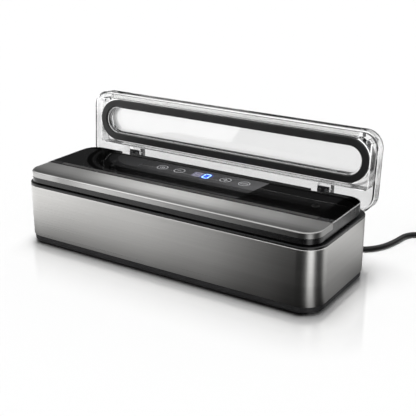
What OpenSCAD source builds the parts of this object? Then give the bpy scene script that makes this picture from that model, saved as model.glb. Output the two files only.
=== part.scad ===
// Countertop vacuum sealer: steel-wrapped body, glass deck, hinged clear lid.
// Millimetres. X runs along the machine, +Y to the rear, +Z up, z = 0 on the table.
// The origin is the middle of the footprint with the lid standing open.

/* [Body] */
// Length of the body
body_w = 380; // [340:1:460]
// Depth of the body
body_d = 132; // [126:1:165]
// Radius of the body's upright corners
body_r = 23; // [16:1:30]
// Height of the plinth's top edge, where the steel wrap starts
plinth_top = 9; // [8:0.5:14]
// Height of the steel wrap's top edge
wrap_top = 70; // [60:1:95]
// Thickness of the steel sheet
steel_t = 0.8; // [0.5:0.1:1.5]
// Wall of the inner housing
shell_wall = 2.4; // [1.8:0.1:3.5]
// Height of the dark rim above the wrap
rim_h = 2.8; // [2:0.1:5]
// Height of the shadow gap under the deck
neck_h = 2.2; // [1.6:0.1:5]
// Height of the rubber feet below the plinth
foot_gap = 1.5; // [1:0.1:4]

/* [Deck] */
// Thickness of the deck, from its lower edge to the glass
deck_h = 12.2; // [11:0.1:20]
// Gap from the body's front face back to the deck's front face
deck_front_inset = 2; // [1:0.5:6]
// Gap from the body's end to the deck's end, on each side
deck_side_inset = 4; // [2:0.5:8]
// Width of the ledge behind the deck
rear_ledge = 9; // [8:0.5:16]
// Radius of the deck's upright corners
deck_r = 19; // [12:1:26]
// Depth of the metal cap, front to back
cap_d = 38.4; // [30:0.1:50]
// Height of the cap's front face
cap_h = 6.4; // [4:0.1:8]
// Thickness of the cap's sheet
cap_t = 1.2; // [0.8:0.1:2]
// Thickness of the glass
glass_t = 3; // [2:0.1:4]
// Width of the frame's lip round the glass
lip_w = 1.2; // [1:0.1:3]
// Gap from the body's end to the weld line's end, on each side
heater_end_gap = 25; // [20:1:50]

/* [Lid] */
// How far the lid reaches past the body's end, on each side
lid_over = 0.5; // [0:0.1:3]
// Depth of the lid's tray, from its rim to its outer face
lid_h = 17; // [15:0.5:24]
// Thickness of the lid's outer plate
lid_plate = 3; // [2:0.1:4]
// Thickness of the lid's side walls
lid_wall = 2.6; // [2:0.1:4]
// Radius of the lid's corners
lid_r = 20; // [14:1:28]
// Lean of the open lid, past upright
lid_lean = 4; // [3:0.5:12]
// Gap from the glass to the closed lid's rim
lid_gap = 0.5; // [0.4:0.1:1.2]
// Gap from the lid's end to the gasket's round end
gasket_end_gap = 9.5; // [9:0.5:30]
// Gap from the lid's rear edge to the gasket
gasket_rear_gap = 30.7; // [29:0.1:40]
// Width of the gasket's own strip
gasket_band = 8.5; // [6:0.5:10]

/* [Hinge] */
// Distance of each hinge from the body's end
hinge_end_gap = 60; // [45:1:90]
// Depth of the hinge pins below the glass
hinge_drop = 11.1; // [10:0.1:14]
// Diameter of the hinge pins
hinge_pin_d = 3; // [2:0.1:4]
// Width of the hinge arms
arm_w = 10; // [8:0.5:14]

/* [Controls] */
// Distance from the control row's middle to the inner touch rings
ring_near = 31; // [26:0.5:40]
// Distance from the control row's middle to the outer touch rings
ring_far = 55.5; // [48:0.5:66]
// Control row's place left of the middle
row_left = 2.5; // [0:0.5:6]
// Width of the display window
display_w = 27; // [20:1:32]
// Depth of the display window, front to back
display_d = 13; // [10:0.5:16]

/* [Pump] */
// Diameter of the pump motor
motor_d = 27; // [22:0.5:30]
// Length of the pump motor
motor_len = 46; // [38:1:60]
// Throw of the pump crank
crank_throw = 2; // [1:0.1:3]

/* [Cord] */
// Diameter of the mains cord
cord_d = 6; // [5:0.5:7]

/* [Hidden] */
$fn = 48;

// Lengths along the machine
heater_len = body_w - 2 * heater_end_gap;
lid_w = body_w + 2 * lid_over;
gasket_w = lid_w - 2 * gasket_end_gap;
hinge_x = body_w / 2 - hinge_end_gap;

// Small clearances
fit = 0.1;          // between pieces of one body that drop into each other
run_gap = 0.3;      // between bodies that move past each other
pin_gap = 0.05;     // radial running fit of a pin or shaft
eps = 0.01;         // overlap that makes a cut go through

// Heights
rim_top = wrap_top + rim_h;
deck_low = rim_top + neck_h;
deck_top = deck_low + deck_h;
cap_low = deck_top - cap_h;
cap_under = deck_top - cap_t;
glass_under = deck_top - glass_t;
plate_t = 2.4;                       // deck frame's support plate
plate_under = glass_under - plate_t;

// Deck outline, measured from the body's middle
deck_front = -body_d / 2 + deck_front_inset;
deck_rear = body_d / 2 - rear_ledge;
deck_w = body_w - 2 * deck_side_inset;
deck_d = deck_rear - deck_front;
deck_y = (deck_front + deck_rear) / 2;
cap_rear = deck_front + cap_d;

// Hinge axis, just inside the deck's rear edge
hinge_in = 1.2;
hinge_y = deck_rear - hinge_in;
hinge_z = deck_top - hinge_drop;
arm_gap = 0.3;                       // between the arm and each ear
ear_t = 2;
knuckle_r = 3;
notch_w = arm_w + 2 * arm_gap + 2 * ear_t + 2;
notch_in = 7;                        // notch depth from the deck's rear edge

// Closed lid, measured from the hinge axis: y grows to the rear, z upwards
lid_turn = 90 + lid_lean;
rim_z = deck_top + lid_gap - hinge_z;
lid_front = cap_rear + 0.5 - hinge_y;
lid_rear = body_d / 2 - 0.6 - hinge_y;
lid_d = lid_rear - lid_front;
lid_y = (lid_front + lid_rear) / 2;
lid_top = rim_z + lid_h;
plate_low = lid_top - lid_plate;
lid_round = 5;                       // round along the lid's outer edge

// Gasket oval, its channel and the chamber inside it
gasket_front_gap = 9.4;              // from the lid's front edge to the gasket
gasket_d = lid_d - gasket_front_gap - gasket_rear_gap;
gasket_y = lid_front + gasket_front_gap + gasket_d / 2;
channel_wall = 1.2;
gasket_deep = 7;
gasket_low = rim_z - lid_gap + run_gap;
chamber_deep = 11;
rib_t = 1.5;
rib_side = 8.25;                     // from the lid's end to the rib frame
rib_rear = 25.2;                     // from the lid's rear edge to the rib frame
post_d = 6;
post_in = 12;                        // from the lid's end and front edge to a post's middle
magnet_d = 4;
magnet_h = 3;

// Weld line, between the cap and the gasket
press_w = 5;
press_front = lid_front + lid_wall + 0.2;
press_y = press_front + press_w / 2;
heater_y = hinge_y + press_y;
tape_w = 5.4;
bar_w = 4.6;
bar_h = 3.6;
tape_t = 0.3;
wire_t = 0.3;
slot_w = tape_w + 2 * fit;
glass_front = heater_y + slot_w / 2 + 0.4;

// Open lid in the footprint
lean_s = sin(lid_lean);
lean_c = cos(lid_lean);
lid_back = hinge_y - lid_front * lean_s + lid_top * lean_c;
body_y = -(lid_back - body_d / 2) / 2;

// Inside the housing
floor_z = foot_gap + 2.5;
board_z = floor_z + 6;
pump_x = -body_w / 2 + 84;
pump_y = hinge_y + gasket_y;         // pump, valve and port share one line
pump_z = floor_z + 8 + motor_d / 2;
motor_end = pump_x + motor_len / 2;
head_w = 34;
head_len = 30;
head_x = motor_end + head_len / 2;
head_top = pump_z + head_w / 2;
valve_x = 0;
valve_low = floor_z + 4;
port_x = body_w / 2 - 40;
port_d = 9;
hose_d = 6;
hose_bore = 3;
relief_x = body_w / 2 - 94;
relief_z = 20;
control_x = -row_left;
control_y = deck_rear - 26.5;

// Cord on the table, measured from the body's rear face behind the relief. The first point is
// the relief's end.
cord_r = cord_d / 2;
relief_len = 24;
cord_route = [
    [0, relief_len, relief_z], [1, 31, 18.5], [4, 38, 14.5], [9, 43.5, 9.8], [16, 47, 5.8],
    [25, 48, cord_r], [35, 46.5, cord_r], [46, 45.5, cord_r], [57, 46.5, cord_r],
    [67, 50.5, cord_r], [76.5, 58.5, cord_r], [84, 70.5, cord_r], [89, 85.5, cord_r],
    [92, 101.5, cord_r], [95.5, 116.5, cord_r], [102.5, 128.5, cord_r], [114, 134, cord_r],
    [127, 134, cord_r], [140, 131.5, cord_r], [154, 130, cord_r]
];
coil_c = [154, 166];
coil_mid_r = 33;                     // middle of the turns
coil_high = 3;                       // turns on each other
plug_c = [191, 210, 7];
tail_route = [
    [190, 166, 15], [190.5, 175, 14.2], [191, 184, 11.5], [191, 193, 8.6], [191, 202, 7], plug_c
];

// A block with rounded upright corners. The child is the 2D profile of its edge:
// x from 0 (the corner's centre line) to r, y is the height, from z0 to z1.
module edge_block(w, d, r, z0, z1) {
    run_x = w / 2 - r;
    run_y = d / 2 - r;
    for (sx = [-1, 1], sy = [-1, 1])
        translate([sx * run_x, sy * run_y, 0]) rotate_extrude() children();
    for (side = [0, 180])
        rotate([0, 0, side]) translate([-run_x, 0, 0]) rotate([90, 0, 90])
            linear_extrude(2 * run_x) union() {
                translate([run_y, 0]) children();
                translate([-eps, z0]) square([run_y + 2 * eps, z1 - z0]);
            }
    for (side = [90, 270])
        rotate([0, 0, side]) translate([-run_y, 0, 0]) rotate([90, 0, 90])
            linear_extrude(2 * run_y) union() {
                translate([run_x, 0]) children();
                translate([-eps, z0]) square([run_x + 2 * eps, z1 - z0]);
            }
}

module rounded_2d(w, d, r) {
    square([w - 2 * r, d], center = true);
    square([w, d - 2 * r], center = true);
    for (sx = [-1, 1], sy = [-1, 1])
        translate([sx * (w / 2 - r), sy * (d / 2 - r)]) circle(r);
}

module block(w, d, r, z0, z1) {
    translate([0, 0, z0]) linear_extrude(z1 - z0) rounded_2d(w, d, r);
}

// An upright-walled ring
module frame_block(w, d, r, wall, z0, z1) {
    translate([0, 0, z0]) linear_extrude(z1 - z0) difference() {
        rounded_2d(w, d, r);
        rounded_2d(w - 2 * wall, d - 2 * wall, max(r - wall, 0.5));
    }
}

// A flat shape with round ends
module stadium_2d(w, d) {
    square([w - d, d], center = true);
    for (s = [-1, 1]) translate([s * (w - d) / 2, 0]) circle(d / 2);
}

module stadium(w, d, z0, z1) {
    translate([0, 0, z0]) linear_extrude(z1 - z0) stadium_2d(w, d);
}

// A profile swept round a stadium; its x is the distance from the stadium's long middle line
module stadium_sweep(run) {
    for (side = [-90, 90])
        translate([-sign(side) * run / 2, 0, 0]) rotate([0, 0, side]) rotate_extrude(angle = 180)
            children();
    for (side = [0, 180])
        rotate([0, 0, side]) translate([-run / 2, 0, 0]) rotate([90, 0, 90])
            linear_extrude(run) children();
}

module box(low, high) {
    translate(low) cube([for (i = [0:2]) high[i] - low[i]]);
}

module along_x(x0, x1, r) {
    translate([x0, 0, 0]) rotate([0, 90, 0]) cylinder(h = x1 - x0, r = r);
}

module along_y(y0, y1, r) {
    translate([0, y0, 0]) rotate([-90, 0, 0]) cylinder(h = y1 - y0, r = r);
}

// Places: the body's middle, the deck's middle, the lid as it stands open
module at_body() translate([0, body_y, 0]) children();
module at_deck() translate([0, body_y + deck_y, 0]) children();
module at_hinge() translate([0, body_y + hinge_y, hinge_z]) children();
module at_open_lid() at_hinge() rotate([-lid_turn, 0, 0]) children();

// Tube swept along points, for cords, hoses and springs
function unit(v) = v / norm(v);
function path_dir(p, i) =
    unit(p[min(i + 1, len(p) - 1)] - p[max(i - 1, 0)]);
function ring_at(c, dir, r, sides) =
    let (side = unit(cross(dir, abs(dir[2]) > 0.9 ? [0, 1, 0] : [0, 0, 1])), up = cross(side, dir))
    [for (k = [0:sides - 1]) c + r * (cos(360 * k / sides) * side + sin(360 * k / sides) * up)];
module tube(p, r, sides) {
    n = len(p);
    points = [for (i = [0:n - 1]) each ring_at(p[i], path_dir(p, i), r, sides)];
    walls = [for (i = [0:n - 2], k = [0:sides - 1])
        let (a = i * sides + k, b = i * sides + (k + 1) % sides)
        each [[a, a + sides, b], [b, a + sides, b + sides]]];
    low = [[for (k = [0:sides - 1]) k]];
    high = [[for (k = [sides - 1:-1:0]) (n - 1) * sides + k]];
    polyhedron(points, concat(walls, low, high));
}
// Points of a smooth curve through p, a few between each pair
function smooth(p, steps) = [for (i = [0:len(p) - 2], s = [0:steps - 1])
    let (t = s / steps, a = p[max(i - 1, 0)], b = p[i], c = p[i + 1], d = p[min(i + 2, len(p) - 1)])
    0.5 * (2 * b + (c - a) * t + (2 * a - 5 * b + 4 * c - d) * t * t
        + (3 * b - a - 3 * c + d) * t * t * t), p[len(p) - 1]];

// ---- Body ----

boss_x = [-body_w / 2 + 40, 0, body_w / 2 - 40];
boss_in = 11;                        // from the body's face to a screw's axis
foot_x = body_w / 2 - 25;
foot_y = body_d / 2 - 22;
foot_r = 7;
plinth_in = 1;
plinth_slope = 1.5;
shell_in = steel_t + fit;
tray_rim = 2;

module boss_places() {
    for (x = boss_x, s = [-1, 1]) translate([x, s * (body_d / 2 - boss_in), 0]) children();
}

module base_tray() color([0.06, 0.06, 0.065]) at_body() {
    rim_off = shell_in + shell_wall + fit;
    difference() {
        union() {
            difference() {
                edge_block(body_w, body_d, body_r, foot_gap, plinth_top)
                    polygon([[0, foot_gap], [body_r - plinth_in - plinth_slope, foot_gap],
                        [body_r - plinth_in, foot_gap + plinth_slope], [body_r - plinth_in, plinth_top],
                        [0, plinth_top]]);
                block(body_w - 16, body_d - 16, body_r - 8, floor_z, plinth_top + 1);
            }
            difference() {
                frame_block(body_w - 2 * rim_off, body_d - 2 * rim_off, body_r - rim_off, tray_rim,
                    plinth_top - 1, plinth_top + 4);
                boss_places() cylinder(h = 60, r = 5, center = true);
                for (s = [-1, 1], x = boss_x)
                    translate([x, s * body_d / 2, plinth_top + 2]) cube([8, 20, 4.1], center = true);
            }
            boss_places() translate([0, 0, foot_gap]) cylinder(h = plinth_top - foot_gap, r = 5);
            // Board posts
            for (sx = [-1, 1], sy = [-1, 1])
                translate([sx * 54, board_y + sy * (board_d / 2 - 4), floor_z - eps])
                    cylinder(h = board_z - floor_z + eps, r = 3);
            // Ribs that hold the pump cradle and the valve
            for (s = [-1, 1]) translate([pump_x + s * 16.6, pump_y, floor_z + 2])
                cube([3, 34, 4 + 2 * eps], center = true);
            translate([valve_x, pump_y, floor_z - eps]) translate([-12, -11, 0]) cube([24, 22, 4 + eps]);
        }
        boss_places() {
            cylinder(h = 60, r = 1.7, center = true);
            translate([0, 0, foot_gap - 1]) cylinder(h = 3.6, r = 3.3);
        }
        for (sx = [-1, 1], sy = [-1, 1])
            translate([sx * foot_x, sy * foot_y, foot_gap - 1]) cylinder(h = 2, r = foot_r + fit);
        // Air slots under the power board
        for (i = [-4:4]) translate([i * 9, board_y, foot_gap]) cube([3, board_d - 12, 12], center = true);
    }
}

module rubber_feet() color([0.03, 0.03, 0.03]) at_body()
    for (sx = [-1, 1], sy = [-1, 1]) translate([sx * foot_x, sy * foot_y, 0]) {
        cylinder(h = 0.6, r1 = foot_r - 0.6, r2 = foot_r);
        translate([0, 0, 0.6]) cylinder(h = foot_gap + 1 - 0.6, r = foot_r);
    }

module base_screws() color([0.7, 0.7, 0.72]) at_body() boss_places() {
    translate([0, 0, foot_gap + 0.4]) difference() {
        cylinder(h = 2.2, r = 3);
        cube([4, 0.8, 1.6], center = true);
        cube([0.8, 4, 1.6], center = true);
    }
    translate([0, 0, foot_gap + 2.5]) cylinder(h = 15, r = 1.3);
}

module body_shell() color([0.12, 0.12, 0.125]) at_body() {
    w = body_w - 2 * shell_in;
    d = body_d - 2 * shell_in;
    r = body_r - shell_in;
    difference() {
        union() {
            difference() {
                union() {
                    block(w, d, r, plinth_top, wrap_top + eps);
                    edge_block(body_w, body_d, body_r, wrap_top, rim_top)
                        polygon([[0, wrap_top], [body_r - 0.3, wrap_top], [body_r, wrap_top + 0.3],
                            [body_r, rim_top - 0.8], [body_r - 0.25, rim_top - 0.25],
                            [body_r - 0.8, rim_top], [0, rim_top]]);
                }
                block(w - 2 * shell_wall, d - 2 * shell_wall, r - shell_wall,
                    plinth_top - 1, wrap_top - 1);
                translate([0, deck_y, 0]) block(deck_w - 24, deck_d - 24, deck_r - 12,
                    wrap_top - 2, rim_top + 1);
            }
            boss_places() {
                translate([0, 0, plinth_top]) cylinder(h = 18, r = 4.4);
            }
            for (x = boss_x, s = [-1, 1])
                translate([x, s * (body_d / 2 - boss_in / 2 - 0.9), plinth_top + 9])
                    cube([2.4, boss_in - 3, 18], center = true);
        }
        boss_places() translate([0, 0, plinth_top - 1]) cylinder(h = 16, r = 1.3 + 0.02);
        translate([relief_x, 0, relief_z]) along_y(body_d / 2 - 8, body_d / 2 + 1, 5 + fit);
    }
}

module steel_wrap() color([0.62, 0.61, 0.6]) at_body() difference() {
    edge_block(body_w, body_d, body_r, plinth_top, wrap_top)
        polygon([[0, plinth_top], [body_r - 0.3, plinth_top], [body_r, plinth_top + 0.3],
            [body_r, wrap_top - 0.4], [body_r - 0.4, wrap_top], [0, wrap_top]]);
    block(body_w - 2 * steel_t, body_d - 2 * steel_t, body_r - steel_t, plinth_top - 1, wrap_top + 1);
    translate([relief_x, 0, relief_z]) along_y(body_d / 2 - 8, body_d / 2 + 1, 6.5);
}

module neck_seal() color([0.02, 0.02, 0.02]) difference() {
    at_deck() frame_block(deck_w - 10, deck_d - 8, deck_r - 4, 6, rim_top, deck_low);
    at_body() hinge_places() translate([-notch_w / 2 - 1, deck_rear - notch_in, rim_top - 1])
        cube([notch_w + 2, notch_in, neck_h + 2]);
}

// ---- Deck ----

frame_wall = 3.6;
board_top = deck_low + 3.4;

// The deck's outline, with a small round at its top edge
module deck_outline(w, d, r, round, z0, z1) {
    edge_block(w, d, r, z0, z1) {
        union() {
            translate([0, z0]) square([r, z1 - z0 - round]);
            translate([0, z0]) square([r - round, z1 - z0]);
            translate([r - round, z1 - round]) circle(round);
        }
    }
}

module hinge_places() for (s = [-1, 1]) translate([s * hinge_x, 0, 0]) children();

module notch_cut(grow) {
    translate([-notch_w / 2 - grow, deck_rear - notch_in - grow, deck_low - 1])
        cube([notch_w + 2 * grow, notch_in + grow + 5, deck_h + 2]);
}

module ring_places() for (x = [-ring_far, -ring_near, ring_near, ring_far])
    translate([control_x + x, control_y, 0]) children();

module deck_frame() color([0.16, 0.16, 0.165]) difference() {
    union() {
        difference() {
            at_deck() deck_outline(deck_w, deck_d, deck_r, 0.5, deck_low, deck_top);
            at_deck() block(deck_w - 2 * frame_wall, deck_d - 2 * frame_wall, deck_r - frame_wall,
                deck_low - 1, plate_under);
        }
        // Walls round the hinge notches
        at_body() hinge_places() box([-notch_w / 2 - 2, deck_rear - notch_in - 2, deck_low],
            [notch_w / 2 + 2, deck_rear - frame_wall + eps, plate_under + eps]);
        // Posts that carry the touch board
        at_body() for (sx = [-1, 1], sy = [-1, 1])
            translate([control_x + sx * 68, control_y - 3 + sy * 8, board_top])
                cylinder(h = plate_under - board_top + eps, r = 2);
    }
    // Seat of the metal cap: its top and its front skirt
    at_body() box([-deck_w, deck_front - 1, cap_under], [deck_w, cap_rear + fit, deck_top + 1]);
    at_body() intersection() {
        box([-deck_w, deck_front - 1, cap_low - fit], [deck_w, cap_rear + fit, deck_top + 1]);
        translate([0, deck_y, 0]) difference() {
            block(deck_w + 2, deck_d + 2, deck_r + 1, cap_low - 1, deck_top + 1);
            block(deck_w - 2 * cap_t - 2 * fit, deck_d - 2 * cap_t - 2 * fit, deck_r - cap_t - fit,
                cap_low - 2, deck_top + 2);
        }
    }
    // Pocket of the glass
    at_body() intersection() {
        translate([0, deck_y, 0]) block(deck_w - 2 * lip_w, deck_d - 2 * lip_w, deck_r - lip_w,
            glass_under, deck_top + 1);
        box([-deck_w, glass_front - fit, glass_under - 1], [deck_w, deck_rear, deck_top + 2]);
    }
    at_body() {
        // Slot of the heater
        translate([0, heater_y, deck_top - tape_t - wire_t - bar_h])
            linear_extrude(20) square([heater_len + 4 + 2 * fit, slot_w], center = true);
        // Display, touch contacts, vacuum port, hinge notches
        translate([control_x, control_y, plate_under - 1])
            linear_extrude(8) square([display_w + 0.6, display_d + 0.6], center = true);
        ring_places() translate([0, 0, plate_under - 1]) cylinder(h = 8, r = 4.5);
        translate([port_x, pump_y, plate_under - 1]) cylinder(h = 8, r = port_d / 2 - 1);
        hinge_places() notch_cut(0);
    }
}

module front_cap() color([0.66, 0.65, 0.64]) at_body() intersection() {
    translate([0, deck_y, 0]) difference() {
        deck_outline(deck_w, deck_d, deck_r, 1.6, cap_low, deck_top);
        block(deck_w - 2 * cap_t, deck_d - 2 * cap_t, deck_r - cap_t, cap_low - 1, cap_under);
    }
    box([-deck_w, deck_front - 1, cap_low - 1], [deck_w, cap_rear, deck_top + 1]);
}

module glass_panel() color([0.02, 0.02, 0.022]) at_body() difference() {
    intersection() {
        translate([0, deck_y, 0]) block(deck_w - 2 * lip_w - 2 * fit, deck_d - 2 * lip_w - 2 * fit,
            deck_r - lip_w - fit, glass_under, deck_top);
        box([-deck_w, glass_front, glass_under - 1], [deck_w, deck_rear, deck_top + 1]);
    }
    translate([port_x, pump_y, glass_under - 1]) cylinder(h = 5, r = port_d / 2 + fit);
    hinge_places() notch_cut(0.3);
}

module display_module() color([0.25, 0.25, 0.3]) at_body()
    translate([control_x, control_y, board_top]) linear_extrude(glass_under - board_top - fit)
        square([display_w, display_d], center = true);

module touch_board() color([0.1, 0.35, 0.2]) at_body() {
    translate([control_x, control_y - 3, board_top - 1.6]) linear_extrude(1.6)
        square([144, 22], center = true);
    ring_places() translate([0, 0, board_top]) difference() {
        cylinder(h = glass_under - board_top - fit, r = 3.6);
        translate([0, 0, -1]) cylinder(h = 20, r = 2.6);
    }
}

module heater_bar() color([0.5, 0.35, 0.25]) at_body()
    translate([0, heater_y, deck_top - tape_t - wire_t - bar_h]) linear_extrude(bar_h)
        square([heater_len, bar_w], center = true);

module heater_wire() color([0.75, 0.75, 0.72]) at_body()
    translate([0, heater_y, deck_top - tape_t - wire_t]) linear_extrude(wire_t)
        square([heater_len - 6, 2.4], center = true);

module release_tape() color([0.13, 0.11, 0.1]) at_body()
    translate([0, heater_y, deck_top - tape_t]) linear_extrude(tape_t)
        square([heater_len + 4, tape_w], center = true);

port_low = deck_low - 3;
screen_h = 0.8;
module vacuum_port() color([0.04, 0.04, 0.04]) at_body() translate([port_x, pump_y, 0])
    rotate_extrude() difference() {
        union() {
            translate([0, glass_under]) square([port_d / 2, glass_t]);
            translate([0, plate_under - 1]) square([port_d / 2 - 1 - fit, plate_t + 1 + eps]);
            translate([0, port_low]) square([hose_d / 2 - 0.5, plate_under - port_low]);
        }
        translate([-1, port_low - 1]) square([1 + hose_bore / 2, 30]);
        translate([-1, deck_top - screen_h]) square([1 + port_d / 2 - 1.2, 2]);
    }

module port_screen() color([0.3, 0.3, 0.3]) at_body()
    translate([port_x, pump_y, deck_top - screen_h]) difference() {
        cylinder(h = screen_h - 0.2, r = port_d / 2 - 1.2 - 0.05);
        for (a = [0:60:359]) rotate(a) translate([1.7, 0, -1]) cylinder(h = 3, r = 0.5, $fn = 16);
        translate([0, 0, -1]) cylinder(h = 3, r = 0.5, $fn = 16);
    }

post_x = lid_w / 2 - post_in;
post_y = lid_front + post_in;
module lid_sensors() color([0.1, 0.1, 0.12]) at_body() for (s = [-1, 1])
    translate([s * min(post_x, deck_w / 2 - frame_wall - 3.6), hinge_y + post_y, plate_under - 3])
        linear_extrude(3) square([6, 14], center = true);

// ---- Pump, valve, hoses ----

module at_pump() at_body() translate([0, pump_y, pump_z]) children();
shaft_r = 1.5;
can_t = 1.2;
cavity_r = 12;
cavity_len = 14;
cover_low = head_top + 1.6;
cover_h = 9;
nozzle_r = 2;
suction_z = cover_low + cover_h / 2;

module pump_saddle() color([0.08, 0.08, 0.08]) difference() {
    at_body() translate([pump_x, pump_y, floor_z]) linear_extrude(pump_z - floor_z - 5)
        square([30, 34], center = true);
    at_pump() along_x(pump_x - 30, pump_x + 30, motor_d / 2 + 0.05);
}

module pump_motor() color([0.6, 0.6, 0.62]) at_pump() difference() {
    along_x(pump_x - motor_len / 2, motor_end, motor_d / 2);
    along_x(pump_x - motor_len / 2 + 3, motor_end - 3, motor_d / 2 - can_t);
    along_x(pump_x - motor_len, motor_end + 1, shaft_r + pin_gap);
}

module pump_rotor() color([0.75, 0.5, 0.3]) at_pump() {
    along_x(pump_x - motor_len / 2 - 3, head_x + 6, shaft_r);
    along_x(pump_x - motor_len / 2 + 6, motor_end - 6, motor_d / 2 - can_t - 1.2);
    difference() {
        translate([0, 0, crank_throw]) along_x(head_x - 4, head_x + 4, 6);
        along_x(head_x - 5, head_x + 5, shaft_r);
    }
}

module pump_head() color([0.2, 0.2, 0.22]) at_pump() difference() {
    translate([head_x, 0, 0]) cube([head_len, head_w, head_w], center = true);
    along_x(head_x - cavity_len / 2, head_x + cavity_len / 2, cavity_r);
    along_x(motor_end - 1, head_x, shaft_r + pin_gap);
    translate([head_x, 0, 0]) cylinder(h = head_w, r = 5);
}

module pump_diaphragm() color([0.05, 0.05, 0.05]) at_pump() translate([head_x, 0, 0]) {
    translate([0, 0, head_w / 2]) cylinder(h = cover_low - head_top, r = 13);
    translate([0, 0, 6 + crank_throw + 1.5]) cylinder(h = head_w / 2 - 7.5 - crank_throw + eps, r = 3.5);
}

module pump_cover() color([0.25, 0.25, 0.27]) at_body() translate([head_x, pump_y, 0]) difference() {
    union() {
        translate([0, 0, cover_low]) linear_extrude(cover_h) square([head_len, head_w], center = true);
        translate([0, 0, suction_z]) along_x(head_len / 2 - eps, head_len / 2 + 6, nozzle_r);
        translate([0, 0, cover_low + cover_h - eps]) cylinder(h = 6, r = nozzle_r);
    }
    translate([0, 0, suction_z]) along_x(0, head_len, 1);
    translate([0, 0, suction_z]) cylinder(h = 20, r = 1);
}

valve_w = 20;
valve_d = 18;
valve_h = 14;
valve_top = valve_low + valve_h;
coil_h = 24;
plunger_r = 3;
plunger_low = valve_low + 5;
plunger_top = valve_top + 13;
spring_top = valve_top + coil_h - 2;
valve_port_z = valve_low + 5;

module valve_body() color([0.85, 0.85, 0.82]) at_body() translate([valve_x, pump_y, 0]) difference() {
    union() {
        translate([0, 0, valve_low]) linear_extrude(valve_h) square([valve_w, valve_d], center = true);
        translate([0, 0, valve_port_z]) along_x(-valve_w / 2 - 6, valve_w / 2 + 6, nozzle_r);
    }
    translate([0, 0, plunger_low - 0.3]) cylinder(h = valve_h, r = plunger_r + pin_gap);
    translate([0, 0, valve_port_z]) along_x(-valve_w, -plunger_r, 1);
    translate([0, 0, valve_port_z]) along_x(plunger_r, valve_w, 1);
}

module valve_coil() color([0.7, 0.35, 0.12]) at_body() translate([valve_x, pump_y, valve_top])
    difference() {
        cylinder(h = coil_h, r = 9);
        translate([0, 0, -1]) cylinder(h = coil_h - 1, r = plunger_r + run_gap);
    }

module valve_plunger() color([0.7, 0.7, 0.72]) at_body() translate([valve_x, pump_y, plunger_low])
    cylinder(h = plunger_top - plunger_low, r = plunger_r);

spring_turns = 4;
spring_rings = 12;                   // rings in each turn
spring_wire_r = 0.35;
module valve_spring() color([0.8, 0.8, 0.8]) at_body() translate([valve_x, pump_y, 0]) {
    n = spring_turns * spring_rings;
    z0 = plunger_top + spring_wire_r;
    z1 = spring_top - spring_wire_r;
    tube([for (i = [0:n]) [2.2 * cos(360 * i / spring_rings), 2.2 * sin(360 * i / spring_rings),
        z0 + (z1 - z0) * i / n]], spring_wire_r, 8);
}

bend_r = 10;

// A hose of radius r in the XZ plane: along X from x0, up or down at xm, along X to x1
module hose_step(x0, z0, xm, x1, z1, r) {
    side = z1 > z0 ? 1 : -1;
    translate([0, 0, z0]) along_x(x0, xm - bend_r, r);
    translate([xm - bend_r, 0, z0 + side * bend_r]) rotate([90, 0, 0])
        rotate([0, 0, side > 0 ? -90 : 0]) rotate_extrude(angle = 90) translate([bend_r, 0]) circle(r);
    translate([xm, 0, min(z0, z1) + bend_r]) cylinder(h = abs(z1 - z0) - 2 * bend_r, r = r);
    translate([xm + bend_r, 0, z1 - side * bend_r]) rotate([90, 0, 0])
        rotate([0, 0, side > 0 ? 90 : 180]) rotate_extrude(angle = 90) translate([bend_r, 0]) circle(r);
    translate([0, 0, z1]) along_x(xm + bend_r, x1, r);
}

module suction_hose() color([0.85, 0.85, 0.83]) at_body() translate([0, pump_y, 0]) {
    x0 = head_x + head_len / 2 + 6;
    x1 = valve_x - valve_w / 2 - 6;
    difference() {
        hose_step(x0, suction_z, (x0 + x1) / 2, x1, valve_port_z, hose_d / 2);
        hose_step(x0 - 1, suction_z, (x0 + x1) / 2, x1 + 1, valve_port_z, hose_bore / 2);
    }
}

// Along X from the valve, then up to the port
module hose_rise(x0, z0, x1, z1, r) {
    translate([0, 0, z0]) along_x(x0, x1 - bend_r, r);
    translate([x1 - bend_r, 0, z0 + bend_r]) rotate([90, 0, 0]) rotate([0, 0, -90])
        rotate_extrude(angle = 90) translate([bend_r, 0]) circle(r);
    translate([x1, 0, z0 + bend_r]) cylinder(h = z1 - z0 - bend_r, r = r);
}

module port_hose() color([0.85, 0.85, 0.83]) at_body() translate([0, pump_y, 0]) {
    x0 = valve_x + valve_w / 2 + 6;
    difference() {
        hose_rise(x0, valve_port_z, port_x, port_low, hose_d / 2);
        hose_rise(x0 - 1, valve_port_z, port_x, port_low + 1, hose_bore / 2);
    }
}

// ---- Electrics ----

board_front = -body_d / 2 + 16;
board_rear = pump_y - head_w / 2 - 4.5;
board_d = board_rear - board_front;
board_y = (board_front + board_rear) / 2;
module power_board() color([0.1, 0.35, 0.2]) at_body()
    translate([0, board_y, board_z]) linear_extrude(1.6) square([120, board_d], center = true);

board_up = board_z + 1.6;
module transformer() color([0.75, 0.6, 0.2]) at_body() translate([-34, board_y, board_up]) {
    translate([0, 0, 4]) linear_extrude(20) square([34, 28], center = true);
    linear_extrude(28) square([22, 22], center = true);
}

module board_parts() color([0.1, 0.1, 0.3]) at_body() translate([0, board_y, board_up]) {
    for (y = [-10, 4]) translate([2, y, 0]) cylinder(h = 20, r = 5.5);
    translate([20, -8, 0]) linear_extrude(16) square([12, 18], center = true);
    translate([38, -12, 0]) linear_extrude(10) square([14, 8], center = true);
    translate([20, 12, 0]) linear_extrude(18) square([16, 4], center = true);
}

module pressure_sensor() color([0.9, 0.9, 0.9]) at_body() translate([44, board_y + 8, board_up]) {
    linear_extrude(6) square([12, 9], center = true);
    translate([0, 0, 6 - eps]) cylinder(h = 6, r = 1.6);
}

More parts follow.
